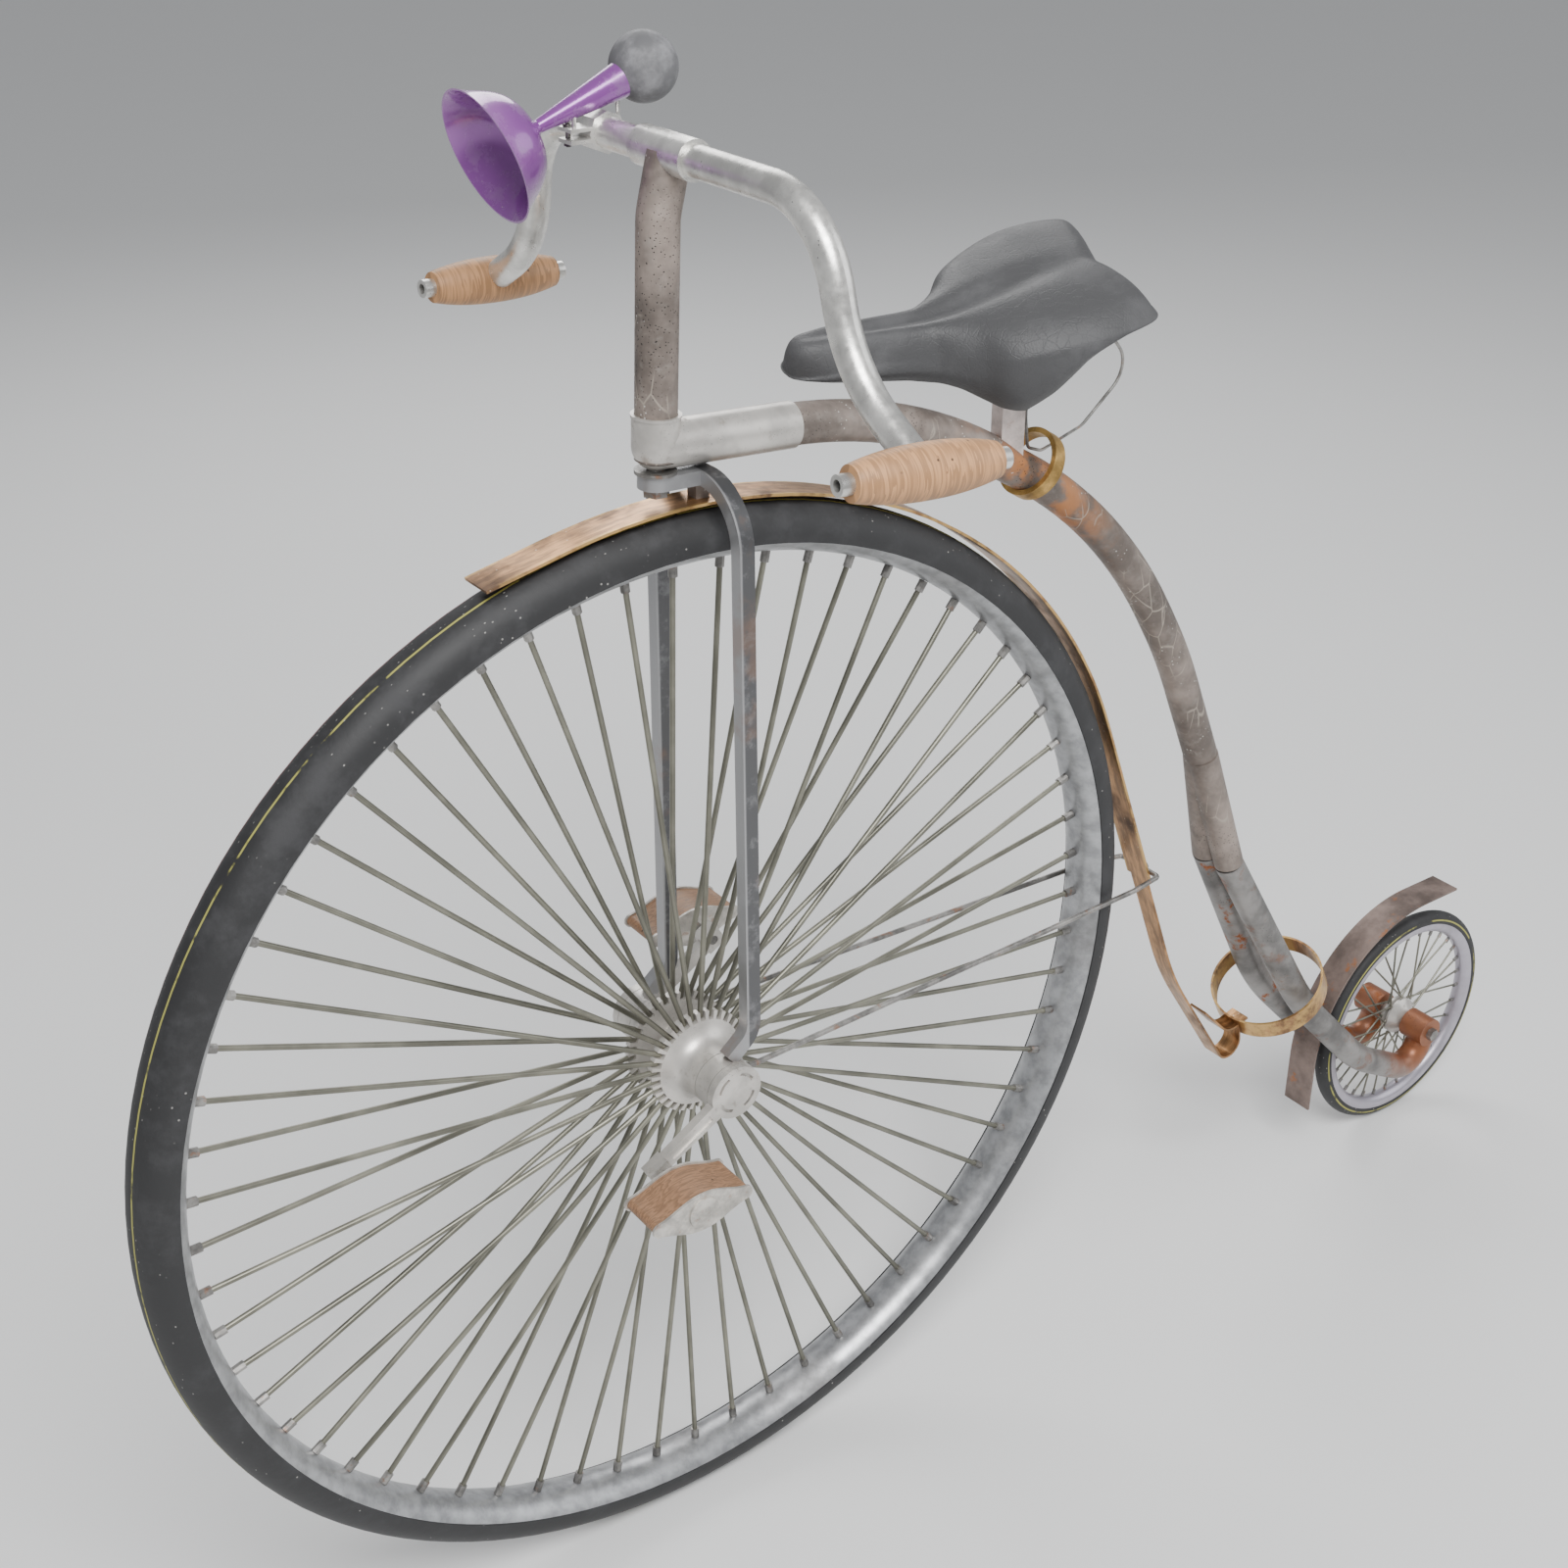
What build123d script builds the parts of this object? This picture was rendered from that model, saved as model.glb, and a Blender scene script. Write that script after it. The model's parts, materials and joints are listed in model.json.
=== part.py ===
from build123d import *
import os
from math import cos, hypot, radians, sin, sqrt, tan

# A high-wheel bicycle: 42 inch driven front wheel, small rear wheel, curved backbone,
# T-handle bars, bulb horn and a leather saddle.  Millimetres, +X forward, +Y left, +Z up.
# Every place below is measured from the front axle in X, from the mid plane in Y and from
# the ground in Z; save() then moves the whole machine so that X = 0 is its middle.

# wheels
FRONT_R = 533.4            # outside of the front tyre
FRONT_TYRE_R = 28.5        # radius of the round tyre section
FRONT_RIM_R = FRONT_R - 46.5        # innermost line of the front rim
RIM_ARC_R = 32.0           # radius of the rounded inner side of the front rim
RIM_WALL = 3.5
RIM_EDGE_RISE = 14.0       # how far the rim's edges stand out from its innermost line
FRONT_SPOKES = 64
SPOKE_D = 5.2
WHEELBASE = 1072.5
REAR_R = 144.1
REAR_TYRE_R = 10.5
REAR_RIM_R = REAR_R - 27.1
REAR_RIM_HALF_W = 10.0
REAR_SPOKES = 32
REAR_SPOKE_D = 2.4
SPOKE_END_GAP = 0.2
SPOKE_PHASE = 0.0          # turn of the first front spoke, as a share of the spacing

# front hub, bearings and cranks
AXLE_D = 16.0
FLANGE_R = 52.0
FLANGE_IN_Y = 16.0
FLANGE_RIM_W = 7.0
FLANGE_SLOT_DEPTH = 8.0
BARREL_R = 26.5
FLANGE_END_Y = 55.5
HUB_SPOOL_R = 20.0
SIDE_GAP = 0.6             # end float beside every turning piece
HOUSING_W = 19.0
BUSH_WALL = 3.0
CRANK_THROW = 98.0
CRANK_T = 8.6
CRANK_W = 14.0
CRANK_ANGLE = -30.0        # left crank below forward, degrees from +X towards +Z
CRANK_EYE_R = 10.5
CRANK_BLOCK_L = 16.0
CAP_R = 21.5
CAP_T = 2.6
COTTER_D = 6.0
RUN_FIT = 0.05             # radial clearance of turning pins and axles

# pedals
PEDAL_PIN_D = 10.0
PEDAL_IN_Y = 107.0
PEDAL_W = 48.0
PEDAL_HALF_L = 52.0
PEDAL_HALF_H = 19.5
PEDAL_TIP_R = 7.0
PLATE_T = 2.4
BODY_INSET = 2.0
PEDAL_NUT_R = 8.0
PEDAL_NUT_T = 7.0
PEDAL_CAP_R = 15.0
PEDAL_CAP_T = 1.6

# steering
HEAD_TILT = 2.54           # stem leans back this many degrees
HEAD_X = 12.1              # stem axis at HEAD_Z
HEAD_Z = 1149.6
STEM_D = 35.0
STEM_WALL = 2.5
LUG_D = 40.0
LUG_Z = 1125.5             # height of the lug arm's axis at the elbow
LUG_TOP_Z = 1149.6
LUG_FLOOR_T = 7.0
LUG_ARM_L = 133.0
ARM_DROP = 4.0             # slope of the lug arm, degrees
COLLAR_T = 2.2
SPINDLE_D = 14.0
WASHER_T = 3.0
BRIDGE_T = 12.0
BRIDGE_W = 30.0
SPINDLE_NUT_T = 7.0

# fork
FORK_X = -26.8             # blades stand this far from the axle
FORK_W = 14.5
FORK_T = 13.0
FORK_BEND_R = 50.0
CROWN_HALF_W = 63.0
CROWN_DROP = 1.5           # top of the crown below the top of its tongue
FOOT_HALF_W = 68.0
FOOT_BEND_R = 26.0
FOOT_ANGLE = 50.0
FOOT_RISE = 34.0           # the foot's bend begins this far above the bearing housing
FOOT_TIP = 20.0

# handlebar, grips and horn
BAR_X = -6.5
BAR_Z = 1353.6
BAR_D = 25.4
BAR_WALL = 2.0
BAR_BACK = 2.4             # the drop of the bar leans back by this angle
BAR_SHOULDER = 195.0
BAR_ELBOW_Y = 221.0
BAR_ELBOW_DROP = 117.0
BAR_SHOULDER_R = 75.0
BAR_ELBOW_R = 115.0
SLEEVE_D = 32.0
SLEEVE_L = 70.0
GRIP_Y = 303.7
GRIP_DROP = 165.5
GRIP_L = 125.0
GRIP_MAX_R = 20.5
GRIP_END_R = 13.5
GRIP_TUBE_D = 16.0
GRIP_TUBE_BORE = 9.0
GRIP_TUBE_L = 146.0
GRIP_TOE = 3.3
GRIP_PITCH = 3.1
HORN_Y = -97.0
HORN_RISE = 30.0           # horn axis above the bar's axis, where it crosses the bar
HORN_TILT = 19.5
HORN_MOUTH = 111.0         # bell mouth ahead of the bar, along the horn
BELL_R = 55.5
BELL_DEPTH = 50.0
BELL_WALL = 1.6
HORN_NECK_R = 5.5
HORN_TUBE_L = 80.0
HORN_END_R = 14.0
BULB_R = 28.0
CLAMP_W = 20.0
CLAMP_T = 3.0

# backbone, legs and rear end
TUBE_D = 36.0
TUBE_WALL = 2.4
SHOULDER_L = 249.0         # the lug arm's line runs this far before the backbone turns down
BACKBONE = [(-497.0, 950.0), (-603.0, 775.0), (-660.4, 641.5)]
BACKBONE_R = [500.0, 560.0, 600.0]
LEG_D = 32.0
LEG_WALL = 2.0
LEG_Y = 36.5
CROTCH_END = (-705.0, 500.0)
LEG_BENDS = [(-836.0, 272.0), (-955.0, 146.0), (-1092.0, 68.0)]
LEG_BEND_R = [400.0, 200.0, 30.0]
LEG_EYE_R = 18.5
LEG_EYE_W = 33.0
REAR_AXLE_D = 8.0
REAR_NUT_R = 8.0
REAR_NUT_T = 7.0
REAR_HUB_HALF_W = 17.5
REAR_HUB_R = 24.0
MUDGUARD_T = 2.6
REAR_GUARD_R = 172.0
REAR_GUARD_W = 38.0
REAR_GUARD_FROM = 0.0
REAR_GUARD_TO = 90.0
REAR_GUARD_LOWER_L = 63.0  # straight ends that carry on past the arc
REAR_GUARD_UPPER_L = 56.0
GUARD_BAR_D = 8.0

# front mudguard, its stays and the strap round the legs
FRONT_GUARD_GAP = 5.0
FRONT_GUARD_W = 35.0
FRONT_GUARD_FROM = 78.0
FRONT_GUARD_TO = 159.0
FRONT_GUARD_NOSE = 72.0
GUARD_TAIL_L = 225.0
GUARD_BLOCK = 13.0
STAY_D = 5.5
STAY_Y = 36.0
STAY_BOLT_D = 5.0
TAIL_GAP = 6.0
TAIL_BENDS = [(-640.0, 371.0), (-776.0, 161.0)]
TAIL_BEND_R = [400.0, 17.0]
TAIL_END = (-760.0, 262.0)
STRAP_LOOP_X = -818.0
STRAP_LOOP_Z = 286.0
STRAP_LOOP_R = 66.0
STRAP_LOOP_TILT = 26.0
STRAP_END = [(-742.0, 256.0), (-700.0, 300.0)]
STRAP_W = 24.0

STAY_BEND_R = [22.0, 6.0]
STAY_BOLT_BACK = 12.0      # bolt ahead of the guard's end
STAY_FOOT_BACK = 4.0       # stay's foot behind the axle
STAY_FOOT_IN = 10.0        # and inside the fork's foot
STAY_TURN_AHEAD = 44.0     # bend ahead of the bolt
STAY_TURN_RISE = 2.0
STAY_CORNER_OUT = 10.0     # corner outside the guard's edge
STAY_HEAD_R = 7.0
STAY_HEAD_T = 3.0
STRAP_LAP = 14.0           # strap's end inside the loop
STRAP_END_R = 24.0
GUARD_BLOCK_SINK = 2.0     # block's foot below the guard's top

# saddle
POST_X = -363.0
POST_SIDE = 22.5
SADDLE_Z = 1193.0          # top of the seat over the post
SADDLE_YAW = -15.0
SADDLE_PITCH = 9.0
SADDLE_ROLL = -12.0
SADDLE_NOSE = 220.0        # ahead of the post
SADDLE_TAIL = 98.0         # behind the post
SADDLE_HALF_W = 94.0
SADDLE_NECK_HALF_W = 26.0
SADDLE_TOP_T = 8.0
SADDLE_SIDE_T = 6.0
SKIRT_NOSE = 24.0
SKIRT_POST = 76.0
SKIRT_TAIL = 26.0
PLATE_L = 90.0
PLATE_W = 40.0
SADDLE_PLATE_T = 4.0
RING_R = 33.0
RING_T = 5.0
RING_X = -390.0
RING_W = 14.0
WIRE_D = 3.0
WIRE_DROP = (-387.0, -3.0, 1068.0)     # bend behind the post, under the front hook
WIRE_BENDS = [(-455.0, 1048.0), (-512.0, 1095.0)]
WIRE_BEND_R = [14.0, 6.0, 10.0, 24.0, 26.0]
WIRE_HOOK_BACK = 18.0      # front hook behind the post
WIRE_HOOK_IN = 40.0        # rear hook ahead of the seat's tail

LUG_ARM = Vector(-cos(radians(ARM_DROP)), 0, -sin(radians(ARM_DROP)))
AXLE_X = (WHEELBASE + REAR_R - FRONT_R) / 2
FRONT_AXLE = Vector(0, 0, FRONT_R)
REAR_AXLE = Vector(-WHEELBASE, 0, REAR_R)
CRANK_IN_Y = FLANGE_END_Y + HOUSING_W + 2 * SIDE_GAP
CRANK_OUT_Y = CRANK_IN_Y + CRANK_T
HEAD_SIN = sin(radians(HEAD_TILT))
HEAD_COS = cos(radians(HEAD_TILT))
LUG_FLOOR_Z = LUG_Z - LUG_D / 2 + 0.8
BRIDGE_TOP_Z = LUG_FLOOR_Z - WASHER_T - SIDE_GAP
CROWN_Z = BRIDGE_TOP_Z - FORK_T / 2 - CROWN_DROP
FOOT_BEND_Z = FRONT_R + BARREL_R + FOOT_RISE
FOOT_BEND_Y = FOOT_HALF_W - (FOOT_HALF_W - CROWN_HALF_W) * (FOOT_BEND_Z - FRONT_R) / (CROWN_Z - FRONT_R)


def save(node, shape):
    solids = [s.moved(Location((AXLE_X, 0, 0))) for s in shape.solids()]
    whole = solids[0] if len(solids) == 1 else Compound(children=solids)
    export_step(whole, f"parts/{node}.step")


def at(place):
    return Location(tuple(place))


def mirrored(shape):
    return shape.mirror(Plane.XZ)


def turned_over(shape):
    """The right-hand copy of a piece that is the same above and below the axle."""
    return Rot(180, 0, 0) * shape


def pair(left, right=None):
    """Two alike pieces as one node, the second mirrored unless it is given."""
    right = mirrored(left) if right is None else right
    return Compound(children=[left.solid(), right.solid()])


def tube(path, outer_d, wall=0.0):
    plane = Plane(origin=path @ 0, z_dir=path % 0)
    face = Circle(outer_d / 2)
    if wall:
        face -= Circle(outer_d / 2 - wall)
    return sweep(plane * face, path=path)


def rod(start, end, diameter):
    start = Vector(start)
    span = Vector(end) - start
    plane = Plane(origin=start, z_dir=span)
    return plane * extrude(Circle(diameter / 2), amount=span.length)


def ring(outer_r, inner_r, y_from, y_to):
    face = Circle(outer_r)
    if inner_r:
        face -= Circle(inner_r)
    return Plane(origin=(0, y_from, 0), x_dir=(1, 0, 0), z_dir=(0, 1, 0)) * extrude(face, amount=y_to - y_from)


def turned(face):
    return revolve(face, axis=Axis.Y)


def band(path, width, thickness):
    """A flat strip along a path in the mid plane, its width across the machine."""
    plane = Plane(origin=path @ 0, x_dir=(0, 1, 0), z_dir=path % 0)
    return sweep(plane * Rectangle(width, thickness), path=path)


def on_head(height):
    """The point of the steering axis at a height."""
    return Vector(HEAD_X - (height - HEAD_Z) * tan(radians(HEAD_TILT)), 0, height)


def head_plane(height):
    return Plane(origin=on_head(height), x_dir=(HEAD_COS, 0, HEAD_SIN), z_dir=(-HEAD_SIN, 0, HEAD_COS))


def head_disc(radius, bore, z_from, thickness):
    face = Circle(radius)
    if bore:
        face -= Circle(bore)
    return head_plane(z_from) * extrude(face, amount=thickness)


# ---------------------------------------------------------------- front wheel

def front_rim_and_tyre():
    arc_x = FRONT_RIM_R + RIM_ARC_R
    edge_x = FRONT_RIM_R + RIM_EDGE_RISE
    below_edge = Pos(edge_x - FRONT_R, 0) * Rectangle(2 * FRONT_R, 4 * RIM_ARC_R)
    seat = Pos(arc_x, 0) * Circle(RIM_ARC_R - RIM_WALL)
    rim = (Pos(arc_x, 0) * Circle(RIM_ARC_R) - seat) & below_edge
    tyre = Pos(FRONT_R - FRONT_TYRE_R, 0) * Circle(FRONT_TYRE_R) - (below_edge - seat)
    save("front_rim", at(FRONT_AXLE) * turned(rim))
    save("front_tyre", at(FRONT_AXLE) * turned(tyre))


def front_spoke(index):
    """One straight spoke from a slot in a flange's edge to the middle of the rim."""
    side = 1 if index % 2 else -1
    flange_y = side * (FLANGE_IN_Y + FLANGE_RIM_W / 2)
    spoke = rod((FLANGE_R - FLANGE_SLOT_DEPTH + 1.5, flange_y, 0), (FRONT_RIM_R - SPOKE_END_GAP, 0, 0), SPOKE_D)
    return at(FRONT_AXLE) * Rot(0, 360 * (index + SPOKE_PHASE) / FRONT_SPOKES, 0) * spoke


def front_flange():
    """Left flange: a slotted disc whose outer side sweeps into the round barrel."""
    rim_y = FLANGE_IN_Y + FLANGE_RIM_W
    outline = Line((AXLE_D / 2, FLANGE_IN_Y), (FLANGE_R, FLANGE_IN_Y))
    outline += Line((FLANGE_R, FLANGE_IN_Y), (FLANGE_R, rim_y))
    dish = Spline(
        (FLANGE_R, rim_y),
        (BARREL_R + 6, rim_y + 9),
        (BARREL_R, FLANGE_END_Y - 8),
        tangents=[(-2, 0.5), (0, 1)],
    )
    outline += dish
    outline += Line((BARREL_R, FLANGE_END_Y - 8), (BARREL_R, FLANGE_END_Y))
    outline += Line((BARREL_R, FLANGE_END_Y), (AXLE_D / 2, FLANGE_END_Y))
    outline += Line((AXLE_D / 2, FLANGE_END_Y), (AXLE_D / 2, FLANGE_IN_Y))
    flange = turned(make_face(outline))
    slot = Pos(FLANGE_R, FLANGE_IN_Y + FLANGE_RIM_W / 2, 0)
    slot *= Box(2 * FLANGE_SLOT_DEPTH, FLANGE_RIM_W + 6, SPOKE_D + 0.5)
    for index in range(1, FRONT_SPOKES, 2):
        flange -= Rot(0, 360 * (index + SPOKE_PHASE) / FRONT_SPOKES, 0) * slot
    return flange


def front_hub():
    left = front_flange()
    facing = Rot(0, 360 * (1 + 2 * SPOKE_PHASE) / FRONT_SPOKES, 0) * turned_over(left)
    save("front_flanges", at(FRONT_AXLE) * pair(left, facing))
    spool = ring(HUB_SPOOL_R, AXLE_D / 2, -FLANGE_IN_Y, FLANGE_IN_Y)
    save("front_hub_spool", at(FRONT_AXLE) * spool)
    spokes = [front_spoke(index).solid() for index in range(FRONT_SPOKES)]
    save("front_spokes", Compound(children=spokes))


def cotter():
    """A cotter pin across the crank boss, clear of the axle's middle line."""
    pin_y = (CRANK_IN_Y + CRANK_OUT_Y - CAP_T) / 2
    return rod((AXLE_D / 2, pin_y, -BARREL_R + 4), (AXLE_D / 2, pin_y, BARREL_R - 4), COTTER_D)


def crank():
    """Left crank along +X: boss, tapered arm and a block that takes the pedal pin."""
    face = Plane(origin=(0, CRANK_IN_Y, 0), x_dir=(1, 0, 0), z_dir=(0, 1, 0))
    boss = face * extrude(Circle(BARREL_R), amount=CRANK_T)
    half = CRANK_W / 2
    arm = Polygon((0, -half - 2), (CRANK_THROW, -half), (CRANK_THROW, half), (0, half + 2), align=None)
    arm_solid = face * extrude(arm, amount=CRANK_T)
    channel = Rectangle(CRANK_THROW - BARREL_R - CRANK_EYE_R - 12, CRANK_W / 2)
    channel_plane = Plane(origin=(0, CRANK_OUT_Y, 0), x_dir=(1, 0, 0), z_dir=(0, 1, 0))
    groove = channel_plane * Pos((CRANK_THROW + BARREL_R - CRANK_EYE_R) / 2, 0) * extrude(channel, amount=-1.6)
    block = face * Pos(CRANK_THROW, 0) * extrude(Rectangle(2 * CRANK_EYE_R, 2 * CRANK_EYE_R), amount=CRANK_BLOCK_L)
    whole = boss + arm_solid - groove + block
    whole -= ring(AXLE_D / 2, 0, CRANK_IN_Y - 1, CRANK_OUT_Y + 1)
    whole -= ring(CAP_R, 0, CRANK_OUT_Y - CAP_T, CRANK_OUT_Y + 1)
    whole -= cotter()
    return whole - Pos(CRANK_THROW, 0, 0) * ring(PEDAL_PIN_D / 2, 0, CRANK_IN_Y - 1, PEDAL_IN_Y)


def crank_cap():
    """The flat disc in the boss, with four curved slots just inside its edge."""
    cap = ring(CAP_R, 0, CRANK_OUT_Y - CAP_T, CRANK_OUT_Y)
    slot_ring = ring(CAP_R - 1.2, CAP_R - 4.2, CRANK_OUT_Y - CAP_T - 1, CRANK_OUT_Y + 1)
    slot_height = 2 * CAP_R * sin(radians(22))
    for index in range(4):
        sector = Rot(0, 90 * index + 20, 0) * Pos(CAP_R, CRANK_OUT_Y, 0) * Box(CAP_R, 4 * CAP_T, slot_height)
        cap -= slot_ring & sector
    return cap


def cranks():
    left = at(FRONT_AXLE) * Rot(0, -CRANK_ANGLE, 0)
    right = left * Rot(0, 180, 0)
    axle_end = CRANK_OUT_Y - CAP_T
    axle = ring(AXLE_D / 2, 0, -axle_end, axle_end) - cotter() - Rot(0, 180, 0) * turned_over(cotter())
    save("front_axle", left * axle)
    save("crank_left", left * crank())
    save("crank_right", right * turned_over(crank()))
    save("crank_caps", pair(left * crank_cap(), right * turned_over(crank_cap())))
    save("crank_cotters", pair(left * cotter(), right * turned_over(cotter())))


# ---------------------------------------------------------------- pedals

def pedal_outline(inset):
    """A lens with hollowed flanks and round tips, the same upside down."""
    length = PEDAL_HALF_L - inset
    height = PEDAL_HALF_H - inset
    tip = PEDAL_TIP_R - inset / 2
    quarter = [(0, height), (length * 0.3, height * 0.88), (length * 0.62, height * 0.55), (length - tip, tip)]
    upper = Spline(*[(-x, z) for x, z in reversed(quarter)], *quarter[1:])
    lower = Spline(*[(x, -z) for x, z in reversed(quarter)], *[(-x, -z) for x, z in quarter[1:]])
    right = ThreePointArc((length - tip, tip), (length, 0), (length - tip, -tip))
    left = ThreePointArc((tip - length, -tip), (-length, 0), (tip - length, tip))
    return make_face(upper + right + lower + left)


def pedal_slab(inset, y_from, thickness):
    plane = Plane(origin=(0, y_from, 0), x_dir=(1, 0, 0), z_dir=(0, 1, 0))
    return plane * extrude(pedal_outline(inset), amount=thickness)


def pedal(side):
    """Wooden body between two metal end plates, loose on the pin; left pedal when side is 1."""
    out_y = PEDAL_IN_Y + PEDAL_W
    bore = ring(PEDAL_PIN_D / 2 + RUN_FIT, 0, PEDAL_IN_Y - 1, out_y)
    pocket_y = out_y - PLATE_T - PEDAL_NUT_T - 4
    pocket = ring(PEDAL_NUT_R + 2, 0, pocket_y, out_y - PLATE_T)
    body = pedal_slab(BODY_INSET, PEDAL_IN_Y + PLATE_T, PEDAL_W - 2 * PLATE_T) - bore - pocket
    inner = pedal_slab(0, PEDAL_IN_Y, PLATE_T) - bore
    outer = pedal_slab(0, out_y - PLATE_T, PLATE_T)
    cap = ring(PEDAL_CAP_R, 0, out_y, out_y + PEDAL_CAP_T)
    pin_end = out_y - PLATE_T - 2
    pin = ring(PEDAL_PIN_D / 2, 0, CRANK_IN_Y + 0.5, pin_end)
    nut_plane = Plane(origin=(0, pocket_y + 1.5, 0), x_dir=(1, 0, 0), z_dir=(0, 1, 0))
    nut = nut_plane * extrude(RegularPolygon(PEDAL_NUT_R, 6), amount=PEDAL_NUT_T) - pin
    angle = radians(CRANK_ANGLE)
    place = FRONT_AXLE + Vector(cos(angle), 0, sin(angle)) * CRANK_THROW * side
    over = Rot(90 - 90 * side, 0, 0)
    return [at(place) * over * piece for piece in (body, inner, outer + cap, pin, nut)]


def pedals():
    left = pedal(1)
    right = pedal(-1)
    for name, pieces in (("left", left), ("right", right)):
        save(f"pedal_body_{name}", pieces[0])
        save(f"pedal_plates_{name}", pair(pieces[1], pieces[2]))
    save("pedal_pins", pair(left[3], right[3]))
    save("pedal_nuts", pair(left[4], right[4]))


# ---------------------------------------------------------------- fork and bearings

def axle_housing():
    return ring(BARREL_R, AXLE_D / 2 + BUSH_WALL, FLANGE_END_Y + SIDE_GAP, CRANK_IN_Y - SIDE_GAP)


def axle_bush():
    return ring(AXLE_D / 2 + BUSH_WALL, AXLE_D / 2 + RUN_FIT, FLANGE_END_Y + SIDE_GAP, CRANK_IN_Y - SIDE_GAP)


def fork_foot():
    """The left blade's lower end, bent forward so that it hooks over the axle housing."""
    start = Vector(FORK_X, FOOT_BEND_Y, FOOT_BEND_Z)
    turn = radians(FOOT_ANGLE)
    middle = start + Vector(FOOT_BEND_R * (1 - cos(turn / 2)), 0, -FOOT_BEND_R * sin(turn / 2))
    end = start + Vector(FOOT_BEND_R * (1 - cos(turn)), 0, -FOOT_BEND_R * sin(turn))
    tip = end + Vector(sin(turn), 0, -cos(turn)) * FOOT_TIP
    path = ThreePointArc(start, middle, end) + Line(end, tip)
    plane = Plane(origin=start, x_dir=(1, 0, 0), z_dir=(0, 0, -1))
    foot = sweep(plane * Rectangle(FORK_W, FORK_T), path=path)
    return foot - at(FRONT_AXLE) * ring(BARREL_R, 0, 0, 2 * FOOT_HALF_W)


def fork():
    corners = [
        (FORK_X, -FOOT_BEND_Y, FOOT_BEND_Z),
        (FORK_X, -CROWN_HALF_W, CROWN_Z),
        (FORK_X, CROWN_HALF_W, CROWN_Z),
        (FORK_X, FOOT_BEND_Y, FOOT_BEND_Z),
    ]
    path = FilletPolyline(*corners, radius=FORK_BEND_R)
    plane = Plane(origin=path @ 0, x_dir=(1, 0, 0), z_dir=path % 0)
    arch = sweep(plane * Rectangle(FORK_W, FORK_T), path=path)
    save("fork", arch + bridge() + fork_foot() + mirrored(fork_foot()))
    save("axle_housings", at(FRONT_AXLE) * pair(axle_housing()))
    save("axle_bushes", at(FRONT_AXLE) * pair(axle_bush()))


def bridge():
    """The forged tongue that carries the spindle ahead of the fork crown."""
    reach = on_head(BRIDGE_TOP_Z).X - FORK_X
    face = Circle(BRIDGE_W / 2) + Pos(-reach / 2, 0) * Rectangle(reach, BRIDGE_W) - Circle(SPINDLE_D / 2)
    return head_plane(BRIDGE_TOP_Z - BRIDGE_T) * extrude(face, amount=BRIDGE_T)


def head_parts():
    corner = on_head(LUG_Z)
    lug = head_disc(LUG_D / 2, 0, LUG_Z, LUG_TOP_Z - LUG_Z) + rod(corner, corner + LUG_ARM * LUG_ARM_L, LUG_D)
    lug += at(corner) * Sphere(LUG_D / 2)
    lug -= tube(backbone_path(), TUBE_D)
    floor_z = LUG_FLOOR_Z + LUG_FLOOR_T
    lug -= head_disc(STEM_D / 2 + RUN_FIT, 0, floor_z, LUG_D)
    lug -= head_disc(SPINDLE_D / 2 + RUN_FIT, 0, LUG_Z - LUG_D, LUG_D)
    lug -= head_disc(LUG_D, 0, LUG_FLOOR_Z - LUG_D, LUG_D)
    save("head_lug", lug)
    save("head_collar", head_disc(LUG_D / 2 + 0.8, STEM_D / 2 + RUN_FIT + 0.2, LUG_TOP_Z, COLLAR_T))

    stem_foot = floor_z + 1.0
    sleeve = Pos(BAR_X, 0, BAR_Z) * ring(SLEEVE_D / 2, 0, -SLEEVE_L / 2, SLEEVE_L / 2)
    bend_z = BAR_Z - 46
    low = on_head(stem_foot)
    knee = on_head(bend_z)
    stem_path = FilletPolyline(low, knee, (BAR_X, 0, BAR_Z), radius=60)
    stem = tube(stem_path, STEM_D, STEM_WALL) - sleeve
    save("steering_stem", stem.solids().sort_by(SortBy.VOLUME)[-1])
    plug = head_disc(STEM_D / 2 - STEM_WALL, 0, stem_foot, 22)
    pin_foot = BRIDGE_TOP_Z - BRIDGE_T - SPINDLE_NUT_T
    spindle = plug + head_disc(SPINDLE_D / 2, 0, pin_foot, stem_foot - pin_foot + 1)
    save("steering_spindle", spindle)
    nut_plane = head_plane(pin_foot)
    save("spindle_nut", nut_plane * extrude(RegularPolygon(11, 6) - Circle(SPINDLE_D / 2), amount=SPINDLE_NUT_T))
    save("thrust_washer", head_disc(STEM_D / 2, SPINDLE_D / 2, BRIDGE_TOP_Z, WASHER_T))


# ---------------------------------------------------------------- handlebar and grips

def bar_point(y, drop):
    """A point of the bar's own plane, which leans back as it comes down."""
    return Vector(BAR_X - drop * sin(radians(BAR_BACK)), y, BAR_Z - drop * cos(radians(BAR_BACK)))


def bar_path():
    left = [bar_point(BAR_SHOULDER, 0), bar_point(BAR_ELBOW_Y, BAR_ELBOW_DROP), bar_point(GRIP_Y, GRIP_DROP)]
    right = [Vector(p.X, -p.Y, p.Z) for p in reversed(left)]
    return FilletPolyline(*right, *left, radius=[BAR_ELBOW_R, BAR_SHOULDER_R, BAR_SHOULDER_R, BAR_ELBOW_R])


def grip_frame():
    """The left grip's axis runs nearly fore and aft through the bar's end."""
    centre = bar_point(GRIP_Y, GRIP_DROP)
    toe = radians(GRIP_TOE)
    pitch = radians(GRIP_PITCH)
    axis = Vector(cos(toe) * cos(pitch), -sin(toe), sin(pitch))
    return Plane(origin=centre, z_dir=axis)


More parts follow.
